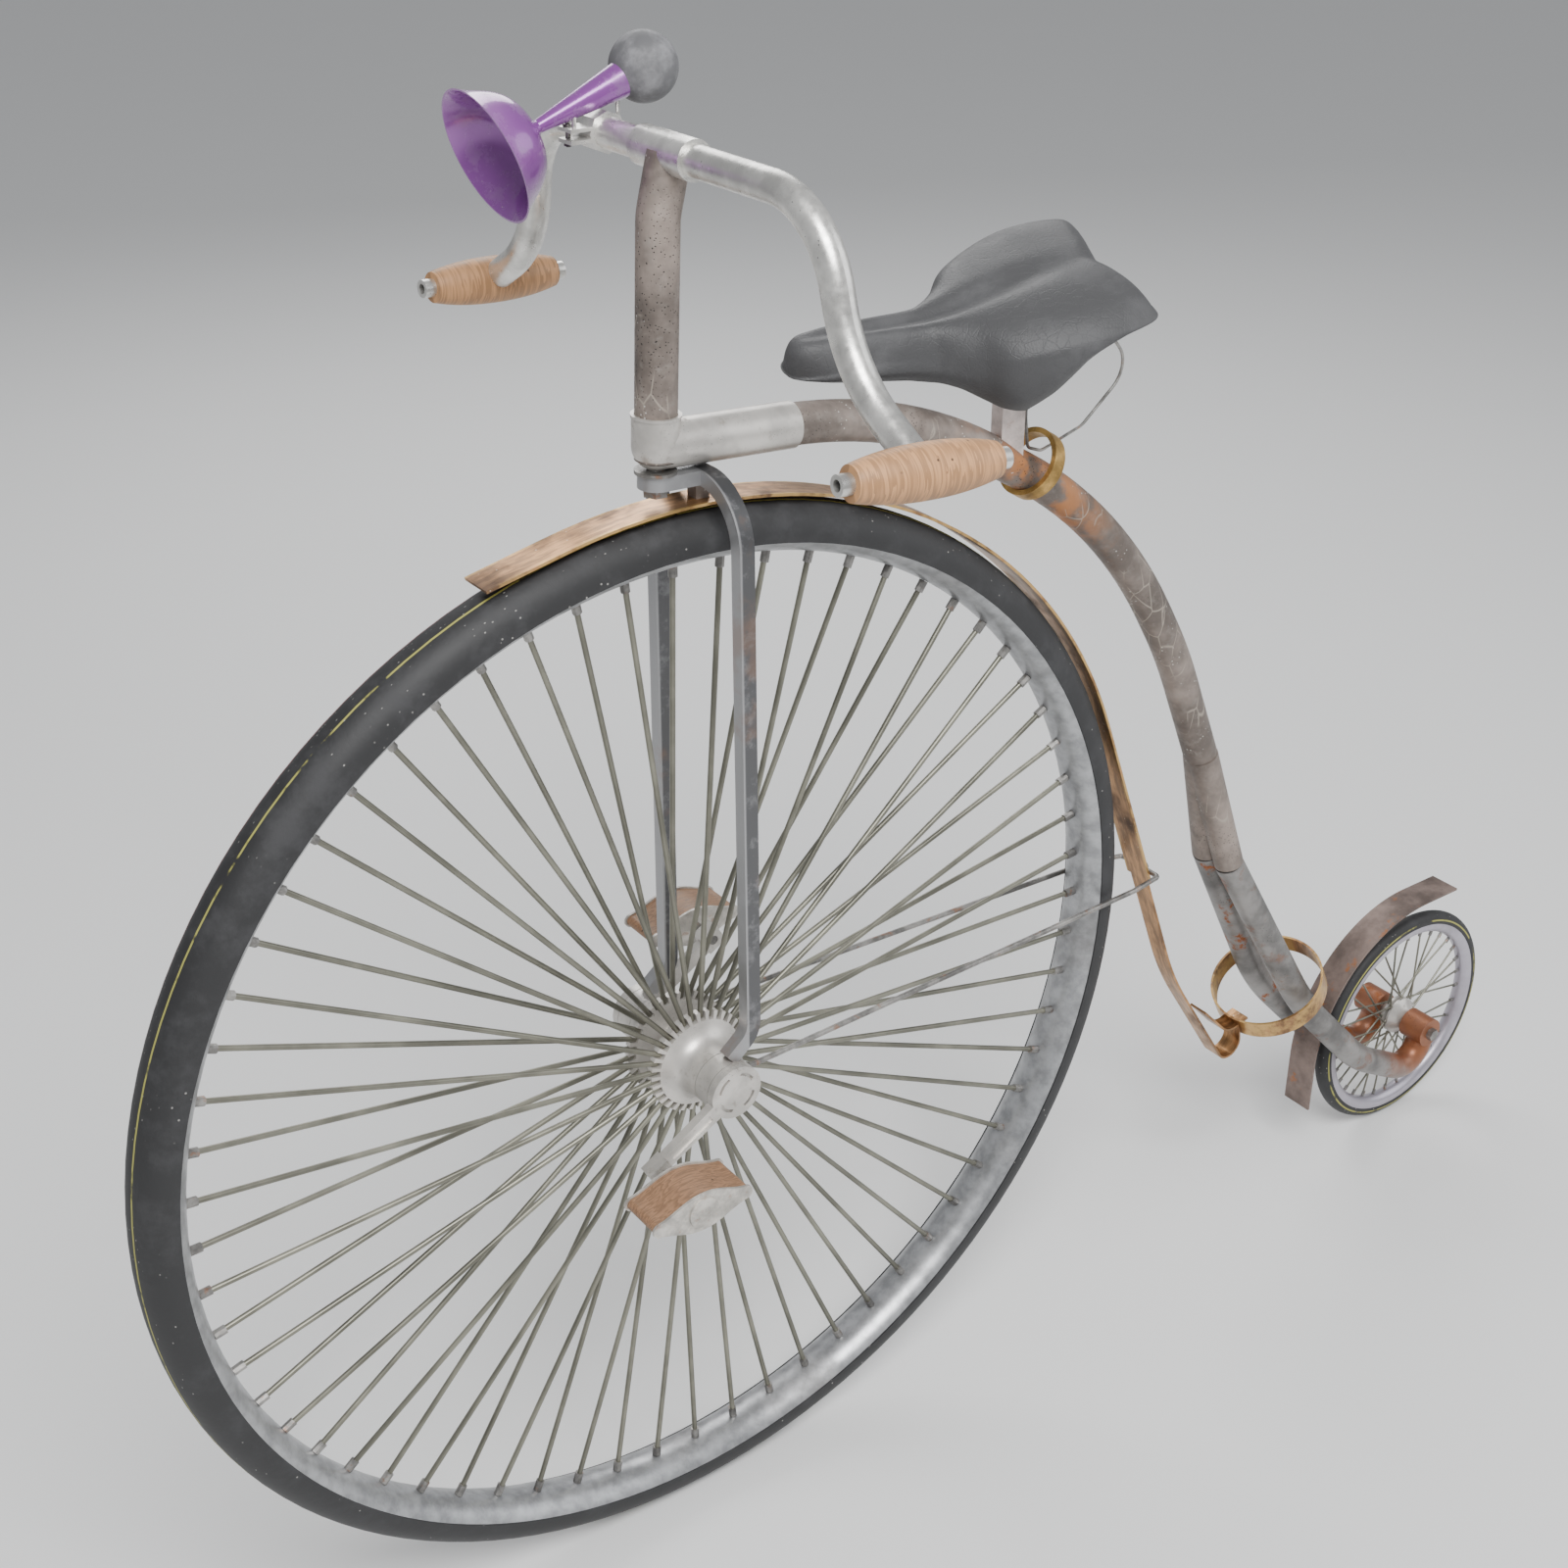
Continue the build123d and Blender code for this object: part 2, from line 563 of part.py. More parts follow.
def grip(bar):
    """A turned wooden grip, fattest in the middle and stepped down at its ends."""
    half = GRIP_L / 2
    outline = Line((0, -half), (GRIP_END_R, -half))
    outline += Spline(
        (GRIP_END_R, -half),
        (GRIP_MAX_R - 1.5, -half * 0.5),
        (GRIP_MAX_R, 0),
        (GRIP_MAX_R - 1.5, half * 0.5),
        (GRIP_END_R, half),
    )
    outline += Line((GRIP_END_R, half), (0, half))
    outline += Line((0, half), (0, -half))
    wood = revolve(Plane.XZ * make_face(outline), axis=Axis.Z)
    wood -= extrude(Circle(GRIP_TUBE_D / 2), amount=GRIP_L, both=True)
    return grip_frame() * wood - bar


def handlebar():
    bar = tube(bar_path(), BAR_D, BAR_WALL)
    core_rod = grip_frame() * extrude(Circle(GRIP_TUBE_D / 2), amount=GRIP_TUBE_L / 2, both=True)
    solid_bar = tube(bar_path(), BAR_D)
    bar = bar - core_rod - mirrored(core_rod)
    save("handlebar", bar.solids().sort_by(SortBy.VOLUME)[-1])
    sleeve = ring(SLEEVE_D / 2, BAR_D / 2, -SLEEVE_L / 2, SLEEVE_L / 2)
    save("bar_sleeve", Pos(BAR_X, 0, BAR_Z) * sleeve)
    wood = grip(solid_bar).solids().sort_by(SortBy.VOLUME)[-1]
    save("grip_left", wood)
    save("grip_right", mirrored(wood))
    core = core_rod - grip_frame() * extrude(Circle(GRIP_TUBE_BORE / 2), amount=GRIP_TUBE_L, both=True)
    save("grip_tubes", pair(core))


# ---------------------------------------------------------------- horn

def horn_frame():
    """Z runs along the horn from its bulb to its mouth, from the point above the bar."""
    tilt = radians(HORN_TILT)
    origin = (BAR_X, HORN_Y, BAR_Z + HORN_RISE)
    return Plane(origin=origin, x_dir=(0, 1, 0), z_dir=(cos(tilt), 0, -sin(tilt)))


def horn_body():
    mouth = HORN_MOUTH
    throat = mouth - BELL_DEPTH
    tail = throat - HORN_TUBE_L
    wall = BELL_WALL
    outer = Spline((HORN_NECK_R, throat), (BELL_R * 0.55, throat + 14), (BELL_R, mouth), tangents=[(0.6, 1), (0.8, 1)])
    inner = Spline(
        (BELL_R - wall, mouth),
        (BELL_R * 0.55 - wall, throat + 14 + wall),
        (HORN_NECK_R - wall, throat + wall),
        tangents=[(-0.8, -1), (-0.6, -1)],
    )
    outline = outer + Line((BELL_R, mouth), (BELL_R - wall, mouth)) + inner
    outline += Line((HORN_NECK_R - wall, throat + wall), (HORN_END_R - wall, tail))
    outline += Line((HORN_END_R - wall, tail), (HORN_END_R, tail))
    outline += Line((HORN_END_R, tail), (HORN_NECK_R, throat))
    return revolve(Plane.XZ * make_face(outline), axis=Axis.Z), tail


def horn():
    bell, tail = horn_body()
    reed_r = HORN_END_R - BELL_WALL
    bulb_z = tail - sqrt(BULB_R**2 - HORN_END_R**2)
    plug = Pos(0, 0, tail) * extrude(Circle(reed_r - 2) - Circle(2.5), amount=2)
    save("horn_bell", horn_frame() * bell)
    save("horn_reed", horn_frame() * plug)
    above = Pos(0, 0, tail) * Box(4 * BULB_R, 4 * BULB_R, 4 * BULB_R, align=(Align.CENTER, Align.CENTER, Align.MIN))
    bulb = Pos(0, 0, bulb_z) * Sphere(BULB_R) - Pos(0, 0, bulb_z) * Sphere(BULB_R - 3) - above
    mouth_hole = Pos(0, 0, bulb_z) * extrude(Circle(reed_r - 3), amount=BULB_R + 5)
    save("horn_bulb", horn_frame() * (bulb - mouth_hole))
    tube_solid = horn_frame() * revolve(
        Plane.XZ * Polygon((0, tail), (HORN_END_R, tail), (HORN_NECK_R, tail + HORN_TUBE_L), (0, tail + HORN_TUBE_L),
                           align=None),
        axis=Axis.Z,
    )
    flats = Plane(origin=(BAR_X, HORN_Y - CLAMP_W / 2, BAR_Z), x_dir=(1, 0, 0), z_dir=(0, 1, 0))
    band_face = RegularPolygon(BAR_D / 2 + CLAMP_T + 1, 8) - Circle(BAR_D / 2)
    clamp = flats * extrude(band_face, amount=CLAMP_W)
    ear_x = BAR_X + BAR_D / 2 + CLAMP_T
    for ear_z in (-4.5, 4.5):
        clamp += Pos(ear_x + 8, HORN_Y, BAR_Z + ear_z) * Box(20, CLAMP_W, CLAMP_T)
    tab_x = BAR_X - BAR_D / 2 - CLAMP_T
    clamp += Pos(tab_x - 3, HORN_Y, BAR_Z) * Box(10, CLAMP_W, CLAMP_T)
    clamp -= flats * extrude(Circle(BAR_D / 2), amount=CLAMP_W)
    screw_x = ear_x + 12
    screw = Pos(screw_x, HORN_Y - 5, BAR_Z - 10) * extrude(Circle(2), amount=20)
    screw += Pos(screw_x, HORN_Y - 5, BAR_Z + 4.5 + CLAMP_T / 2) * extrude(Circle(4), amount=2)
    screw += Pos(screw_x, HORN_Y - 5, BAR_Z - 4.5 - CLAMP_T / 2 - 3) * extrude(RegularPolygon(4, 6), amount=3)
    clamp -= Pos(screw_x, HORN_Y - 5, BAR_Z - 12) * extrude(Circle(2), amount=24)
    save("horn_clamp", clamp)
    save("horn_clamp_screw", screw)
    front_post = Pos(ear_x + 12, HORN_Y + 5, BAR_Z + 4.5 + CLAMP_T / 2) * extrude(Circle(1.8), amount=30)
    rear_post = Pos(tab_x, HORN_Y, BAR_Z + CLAMP_T / 2) * extrude(Circle(1.8), amount=40)
    posts = []
    for post in (front_post, rear_post):
        posts.append((post - tube_solid - clamp).solids().sort_by(Axis.Z)[0])
    save("horn_posts", Compound(children=posts))


# ---------------------------------------------------------------- backbone and rear frame

def backbone_path():
    corner = on_head(LUG_Z)
    points = [corner + LUG_ARM * (LUG_D / 2 + 8), corner + LUG_ARM * SHOULDER_L]
    points += [Vector(x, 0, z) for x, z in BACKBONE]
    return FilletPolyline(*points, radius=BACKBONE_R)


def leg_path():
    """Left leg's middle line from the crotch down round to the rear axle."""
    start = Vector(CROTCH_END[0], LEG_D / 2 + 1, CROTCH_END[1])
    points = [start] + [Vector(x, LEG_Y, z) for x, z in LEG_BENDS]
    points.append(REAR_AXLE + Vector(0, LEG_Y, 0))
    return FilletPolyline(*points, radius=LEG_BEND_R)


def cone(start, end, r_start, r_end):
    span = Vector(end) - Vector(start)
    plane = Plane(origin=start, z_dir=span)
    return plane * Cone(r_start, r_end, span.length, align=(Align.CENTER, Align.CENTER, Align.MIN))


def backbone():
    path = backbone_path()
    save("backbone", tube(path, TUBE_D, TUBE_WALL))
    top = path @ 1
    leg_start = leg_path() @ 0
    neck = Vector(top.X, 2.0, top.Z)
    blend = cone(neck, leg_start, TUBE_D / 2 - 0.6, LEG_D / 2)
    crotch = blend + mirrored(blend) + at(top) * Sphere(TUBE_D / 2)
    cut = Plane(origin=top, z_dir=path % 1)
    crotch = split(crotch, bisect_by=cut, keep=Keep.TOP)
    for side in (1, -1):
        foot = leg_start if side > 0 else Vector(leg_start.X, -leg_start.Y, leg_start.Z)
        heading = leg_path() % 0
        heading = Vector(heading.X, heading.Y * side, heading.Z)
        beyond = Plane(origin=foot, z_dir=heading) * Cylinder(LEG_D, 40, align=(Align.CENTER, Align.CENTER, Align.MIN))
        crotch -= beyond
    save("backbone_crotch", crotch.solids().sort_by(SortBy.VOLUME)[-1])


def legs():
    leg = tube(leg_path(), LEG_D, LEG_WALL)
    inner = LEG_Y - LEG_EYE_W / 2
    outer = LEG_Y + LEG_EYE_W / 2
    leg += at(REAR_AXLE) * ring(LEG_EYE_R, 0, inner, outer)
    leg -= at(REAR_AXLE) * ring(REAR_AXLE_D / 2, 0, 0, 2 * LEG_Y)
    save("leg_left", leg)
    save("leg_right", mirrored(leg))
    axle = at(REAR_AXLE) * ring(REAR_AXLE_D / 2, 0, -outer - REAR_NUT_T, outer + REAR_NUT_T)
    save("rear_axle", axle)
    nut_plane = Plane(origin=REAR_AXLE + Vector(0, outer, 0), x_dir=(1, 0, 0), z_dir=(0, 1, 0))
    nut = nut_plane * extrude(RegularPolygon(REAR_NUT_R, 6) - Circle(REAR_AXLE_D / 2), amount=REAR_NUT_T)
    save("rear_axle_nuts", pair(nut))
    spacer = ring(REAR_AXLE_D, REAR_AXLE_D / 2, REAR_HUB_HALF_W + SIDE_GAP, inner)
    save("rear_axle_spacers", at(REAR_AXLE) * pair(spacer))


def rear_wheel():
    seat_r = REAR_R - REAR_TYRE_R - sqrt(max(REAR_TYRE_R**2 - REAR_RIM_HALF_W**2, 0.0))
    section = Pos(REAR_R - REAR_TYRE_R, 0) * Circle(REAR_TYRE_R)
    inside = Pos(seat_r - REAR_R, 0) * Rectangle(2 * REAR_R, 6 * REAR_TYRE_R)
    save("rear_tyre", at(REAR_AXLE) * turned(section - inside))
    bow = ThreePointArc((seat_r, -REAR_RIM_HALF_W), (REAR_RIM_R, 0), (seat_r, REAR_RIM_HALF_W))
    rim = make_face(bow + Line((seat_r, REAR_RIM_HALF_W), (seat_r, -REAR_RIM_HALF_W)))
    save("rear_rim", at(REAR_AXLE) * turned(rim))
    edge = REAR_HUB_R - 7
    outline = Polyline(
        (REAR_AXLE_D / 2 + RUN_FIT, -REAR_HUB_HALF_W),
        (9, -REAR_HUB_HALF_W),
        (REAR_HUB_R, -5),
        (REAR_HUB_R, -2),
        (edge, 0),
        (REAR_HUB_R, 2),
        (REAR_HUB_R, 5),
        (9, REAR_HUB_HALF_W),
        (REAR_AXLE_D / 2 + RUN_FIT, REAR_HUB_HALF_W),
        close=True,
    )
    save("rear_hub", at(REAR_AXLE) * turned(make_face(outline)))
    spokes = []
    for index in range(REAR_SPOKES):
        side = 1 if index % 2 else -1
        twist = 38 if index % 4 < 2 else -38
        foot = Rot(0, twist, 0) * Pos(REAR_HUB_R + 1.4, side * 3.5, 0) * Sphere(0.1)
        start = foot.center()
        spokes.append(Rot(0, 360 * index / REAR_SPOKES, 0) * rod(start, (REAR_RIM_R - 0.6, 0, 0), REAR_SPOKE_D))
    save("rear_spokes", Compound(children=[(at(REAR_AXLE) * spoke).solid() for spoke in spokes]))


def rear_mudguard():
    radius = REAR_GUARD_R + MUDGUARD_T / 2
    arc = CenterArc((0, 0), radius, REAR_GUARD_FROM, REAR_GUARD_TO - REAR_GUARD_FROM)
    lower = Line((arc @ 0) - (arc % 0) * REAR_GUARD_LOWER_L, arc @ 0)
    upper = Line(arc @ 1, (arc @ 1) + (arc % 1) * REAR_GUARD_UPPER_L)
    path = Plane(origin=REAR_AXLE, x_dir=(1, 0, 0), z_dir=(0, -1, 0)) * (lower + arc + upper)
    save("rear_mudguard", band(path, REAR_GUARD_W, MUDGUARD_T))
    bar_r = REAR_GUARD_R + MUDGUARD_T + GUARD_BAR_D / 2
    leg_points = [leg_path() @ (step / 400) for step in range(401)]
    place = min(leg_points, key=lambda p: abs(hypot(p.X - REAR_AXLE.X, p.Z - REAR_AXLE.Z) - bar_r))
    bar = rod((place.X, -LEG_Y, place.Z), (place.X, LEG_Y, place.Z), GUARD_BAR_D)
    left = tube(leg_path(), LEG_D)
    save("rear_mudguard_bar", bar - left - mirrored(left))


# ---------------------------------------------------------------- front mudguard, stays and strap

def guard_radius():
    return FRONT_R + FRONT_GUARD_GAP + MUDGUARD_T / 2


def around_front(angle, radius):
    return Vector(radius * cos(radians(angle)), 0, FRONT_R + radius * sin(radians(angle)))


def heading(angle):
    """Direction of travel backwards round the front wheel at an angle."""
    return Vector(-sin(radians(angle)), 0, cos(radians(angle)))


def guard_path():
    radius = guard_radius()
    nose = around_front(FRONT_GUARD_FROM, radius)
    middle = around_front((FRONT_GUARD_FROM + FRONT_GUARD_TO) / 2, radius)
    tail = around_front(FRONT_GUARD_TO, radius)
    start = nose - heading(FRONT_GUARD_FROM) * FRONT_GUARD_NOSE
    end = tail + heading(FRONT_GUARD_TO) * GUARD_TAIL_L
    return Line(start, nose) + ThreePointArc(nose, middle, tail) + Line(tail, end)


def guard_end():
    return around_front(FRONT_GUARD_TO, guard_radius()) + heading(FRONT_GUARD_TO) * GUARD_TAIL_L


def front_mudguard():
    save("front_mudguard", band(guard_path(), FRONT_GUARD_W, MUDGUARD_T))
    guard_top = FRONT_R + guard_radius() + MUDGUARD_T / 2
    block = extrude(Rectangle(GUARD_BLOCK, GUARD_BLOCK), amount=CROWN_Z - guard_top)
    block = Pos(FORK_X, 0, guard_top - GUARD_BLOCK_SINK) * block
    block -= band(guard_path(), FRONT_GUARD_W + 10, MUDGUARD_T)
    block -= Pos(FORK_X, 0, CROWN_Z) * Box(2 * FORK_W, 2 * FORK_W, FORK_T) + bridge()
    save("mudguard_block", block.solids().sort_by(Axis.Z)[-1])
    bolt_at = guard_end() - heading(FRONT_GUARD_TO) * STAY_BOLT_BACK
    bolt_plane = Plane(origin=bolt_at, z_dir=around_front(FRONT_GUARD_TO, 1) - FRONT_AXLE)
    behind = bolt_plane.origin + bolt_plane.z_dir * (MUDGUARD_T + STAY_D) / 2
    foot = FRONT_AXLE + Vector(-STAY_FOOT_BACK, FOOT_HALF_W - STAY_FOOT_IN, 0)
    turn_at = Vector(behind.X + STAY_TURN_AHEAD, STAY_Y, behind.Z + STAY_TURN_RISE)
    corner = Vector(behind.X, FRONT_GUARD_W / 2 + STAY_CORNER_OUT, behind.Z)
    tip = Vector(behind.X, STAY_BOLT_D / 2 + 0.5, behind.Z)
    path = FilletPolyline(foot, turn_at, corner, tip, radius=STAY_BEND_R)
    housing = at(FRONT_AXLE) * ring(BARREL_R, 0, 0, 2 * FOOT_HALF_W)
    stay = (tube(path, STAY_D) - housing).solids().sort_by(SortBy.VOLUME)[-1]
    save("mudguard_stays", pair(stay))
    head_from = MUDGUARD_T / 2 + STAY_D
    bolt = Pos(0, 0, MUDGUARD_T / 2) * extrude(Circle(STAY_BOLT_D / 2), amount=STAY_D)
    bolt += Pos(0, 0, head_from) * extrude(Circle(STAY_HEAD_R), amount=STAY_HEAD_T)
    save("stay_bolt", bolt_plane * bolt)


def strap():
    """The mudguard's free tail and the open loop that it makes round both legs."""
    down = heading(FRONT_GUARD_TO)
    start = guard_end() + down * TAIL_GAP
    tilt = radians(STRAP_LOOP_TILT)
    loop_axis = Vector(-sin(tilt), 0, -cos(tilt))
    across = Vector(cos(tilt), 0, -sin(tilt))
    centre = Vector(STRAP_LOOP_X, 0, STRAP_LOOP_Z)
    bends = [Vector(x, 0, z) for x, z in [*TAIL_BENDS, TAIL_END]]
    tail = band(FilletPolyline(start, *bends, radius=TAIL_BEND_R), STRAP_W, MUDGUARD_T)
    plane = Plane(origin=centre - loop_axis * STRAP_W / 2, x_dir=(0, 1, 0), z_dir=loop_axis)
    outside = plane * extrude(Circle(STRAP_LOOP_R), amount=STRAP_W)
    inside = plane * extrude(Circle(STRAP_LOOP_R - MUDGUARD_T), amount=STRAP_W)
    save("mudguard_tail", (tail - outside).solids().sort_by(SortBy.VOLUME)[-1])
    lap = centre + across * (STRAP_LOOP_R - MUDGUARD_T - STRAP_LAP)
    end_points = [lap] + [Vector(x, 0, z) for x, z in STRAP_END]
    end_path = FilletPolyline(*end_points, radius=STRAP_END_R)
    save("strap_loop", outside - inside + band(end_path, STRAP_W, MUDGUARD_T))


# ---------------------------------------------------------------- saddle

def saddle_frame():
    """Origin on the seat's top over the post, +X to the nose, after the saddle's yaw, pitch and roll."""
    return Pos(POST_X, 0, SADDLE_Z) * Rot(0, 0, SADDLE_YAW) * Rot(0, SADDLE_PITCH, 0) * Rot(SADDLE_ROLL, 0, 0)


def saddle_outline(inset):
    nose = SADDLE_NOSE - inset
    tail = SADDLE_TAIL - inset
    wing = SADDLE_HALF_W - inset
    neck = SADDLE_NECK_HALF_W - inset
    half = [
        (nose - 8, neck * 0.7),
        (nose - 70, neck),
        (50, neck + 18),
        (-10, wing - 10),
        (-55, wing),
        (8 - tail, wing - 12),
    ]
    right = [(x, -y) for x, y in reversed(half)]
    return make_face(Spline((nose, 0), *half, (16 - tail, 0), *right, periodic=True))


def saddle():
    place = saddle_frame()
    side = Polygon(
        (SADDLE_NOSE + 1, 0),
        (SADDLE_NOSE + 1, -SKIRT_NOSE),
        (100, -SKIRT_NOSE - 12),
        (14, -SKIRT_POST),
        (-14, -SKIRT_POST + 4),
        (-62, -SKIRT_TAIL - 10),
        (-SADDLE_TAIL - 1, -SKIRT_TAIL),
        (-SADDLE_TAIL - 1, 0),
        align=None,
    )
    block = Plane.XZ * extrude(side, amount=SADDLE_HALF_W + 20, both=True)
    hollow = Pos(0, 0, -SADDLE_TOP_T) * extrude(saddle_outline(SADDLE_SIDE_T), amount=-2 * SKIRT_POST)
    cover = (block & extrude(saddle_outline(0), amount=-2 * SKIRT_POST)) - hollow
    save("saddle_cover", place * cover)
    plate_top = -SADDLE_TOP_T - 0.2
    save("saddle_plate", place * Pos(0, 0, plate_top) * extrude(Rectangle(PLATE_L, PLATE_W), amount=-SADDLE_PLATE_T))
    above = place * Pos(0, 0, plate_top - SADDLE_PLATE_T) * extrude(Rectangle(PLATE_L, PLATE_L), amount=100)
    post = Pos(POST_X, 0, SADDLE_Z - 160) * Rot(0, 0, SADDLE_YAW) * extrude(Rectangle(POST_SIDE, POST_SIDE), amount=200)
    post = post - above - tube(backbone_path(), TUBE_D)
    save("saddle_post", post.solids().sort_by(Axis.Z)[-1])


def ring_place():
    path = backbone_path()
    best = min((i / 400 for i in range(401)), key=lambda t: abs((path @ t).X - RING_X))
    centre = path @ best
    along = path % best
    normal = Vector(-along.Z, 0, along.X)
    if normal.Z < 0:
        normal = normal * -1
    return centre, along, normal


def ring_and_wire():
    centre, along, normal = ring_place()
    lift = RING_R - RING_T - TUBE_D / 2 - 0.1
    plane = Plane(origin=centre + normal * lift - along * RING_W / 2, z_dir=along)
    hoop = plane * extrude(Circle(RING_R) - Circle(RING_R - RING_T), amount=RING_W)
    save("backbone_ring", hoop)
    under = saddle_frame()
    front_hook = (under * Pos(-WIRE_HOOK_BACK, 0, -SADDLE_TOP_T - SADDLE_PLATE_T - 2)).position
    rear_hook = (under * Pos(WIRE_HOOK_IN - SADDLE_TAIL, 0, -SADDLE_TOP_T + 1)).position
    wire_points = [
        front_hook,
        Vector(*WIRE_DROP),
        Vector(centre.X + 1, 0, centre.Z + RING_R - RING_T - WIRE_D),
        Vector(centre.X - RING_W - 2, 0, centre.Z + normal.Z * (RING_R - RING_T - 2 * WIRE_D)),
        *[Vector(x, 0, z) for x, z in WIRE_BENDS],
        rear_hook,
    ]
    path = FilletPolyline(*wire_points, radius=WIRE_BEND_R)
    wire = tube(path, WIRE_D) - hoop - tube(backbone_path(), TUBE_D)
    wire -= under * Pos(0, 0, -SADDLE_TOP_T) * extrude(Rectangle(2 * SADDLE_NOSE, 2 * SADDLE_HALF_W), amount=40)
    save("saddle_spring_wire", wire.solids().sort_by(SortBy.VOLUME)[-1])


os.makedirs("parts", exist_ok=True)
front_rim_and_tyre()
front_hub()
cranks()
pedals()
fork()
head_parts()
handlebar()
horn()
backbone()
legs()
rear_wheel()
rear_mudguard()
front_mudguard()
strap()
saddle()
ring_and_wire()
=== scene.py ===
import json
import math

import bmesh
import bpy
import numpy as np
from mathutils import Matrix, Vector


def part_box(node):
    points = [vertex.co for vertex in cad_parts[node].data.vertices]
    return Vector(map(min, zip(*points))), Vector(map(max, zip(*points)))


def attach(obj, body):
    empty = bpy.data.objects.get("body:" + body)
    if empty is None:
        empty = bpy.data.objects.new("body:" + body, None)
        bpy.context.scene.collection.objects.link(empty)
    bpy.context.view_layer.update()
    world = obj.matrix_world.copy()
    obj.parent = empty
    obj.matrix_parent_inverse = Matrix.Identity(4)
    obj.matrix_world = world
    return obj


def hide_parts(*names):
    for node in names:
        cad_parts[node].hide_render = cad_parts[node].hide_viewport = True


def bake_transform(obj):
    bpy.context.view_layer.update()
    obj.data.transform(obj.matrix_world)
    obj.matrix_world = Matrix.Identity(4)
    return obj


bl_info = {
    "name": "High-wheel bicycle",
    "version": (1, 0, 0),
    "blender": (4, 5, 0),
    "location": "View3D > Sidebar > Bicycle",
    "description": "Finishes, leather seat, strap, nipples and stage for a high-wheel bicycle",
    "category": "Object",
}

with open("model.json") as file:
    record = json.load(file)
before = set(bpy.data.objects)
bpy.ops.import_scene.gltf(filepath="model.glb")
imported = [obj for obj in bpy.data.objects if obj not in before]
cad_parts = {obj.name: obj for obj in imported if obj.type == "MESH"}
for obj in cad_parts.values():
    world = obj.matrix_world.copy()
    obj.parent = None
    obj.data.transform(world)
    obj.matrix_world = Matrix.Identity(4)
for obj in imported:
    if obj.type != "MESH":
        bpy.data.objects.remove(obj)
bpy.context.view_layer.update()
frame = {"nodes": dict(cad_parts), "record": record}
NODES = frame["nodes"]


def middle(node):
    low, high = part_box(node)
    return (low + high) / 2


FRONT_AXLE = middle("front_tyre")
REAR_AXLE = middle("rear_tyre")
FRONT_R = (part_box("front_tyre")[1].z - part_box("front_tyre")[0].z) / 2
REAR_R = (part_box("rear_tyre")[1].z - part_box("rear_tyre")[0].z) / 2
POST_X = middle("saddle_post").x
BLADE_BACK = 0.0268  # fork blades behind the front axle
FRONT_RIM_DEPTH = 0.0465  # from the tread in to the front rim's inner face
REAR_RIM_DEPTH = 0.0271
NIPPLE_GAP = 0.0002  # between a nipple and its rim
STRAP_GAP = 0.006  # between the mudguard's end and the strap's
STRAP_SLOPE = math.radians(21.0)  # lean of the mudguard's end from upright
STRAP_STEP = 0.008  # height of one row of faces in the strap


# ---------------------------------------------------------------- settings

def length(name, text, default):
    return bpy.props.FloatProperty(name=name, description=text, default=default, unit="LENGTH", precision=4)


def whole(name, text, default):
    return bpy.props.IntProperty(name=name, description=text, default=default, min=8)


def colour(name, text, default):
    return bpy.props.FloatVectorProperty(
        name=name, description=text, default=default, size=3, min=0.0, max=1.0, subtype="COLOR"
    )


class BikeSizes(bpy.types.PropertyGroup):
    """Sizes of the pieces made here."""

    saddle_height: length("Saddle height", "Top of the seat over its post, above the ground", 1.193)
    saddle_nose: length("Saddle nose", "From the post forward to the tip", 0.220)
    saddle_tail: length("Saddle tail", "From the post back to the two rear tips", 0.098)
    saddle_half_width: length("Saddle half width", "From the middle to a rear wing", 0.094)
    saddle_neck: length("Saddle neck", "Half width of the narrow front", 0.026)
    saddle_leather: length("Leather thickness", "Thickness of the seat's leather", 0.0045)
    saddle_crown: length("Seat crown", "Rise of the seat's middle over its edges", 0.016)
    saddle_crease: length("Seat crease", "Depth of the soft crease along the middle", 0.009)
    strap_overlap: length("Strap overlap", "How far the strap laps the mudguard's end", 0.008)
    nipple_length: length("Nipple length", "Length of a spoke nipple", 0.011)
    nipple_radius: length("Nipple radius", "Radius of a front spoke nipple", 0.0042)
    spoke_count: whole("Front spokes", "Spokes in the front wheel", 64)
    rear_spoke_count: whole("Rear spokes", "Spokes in the rear wheel", 32)


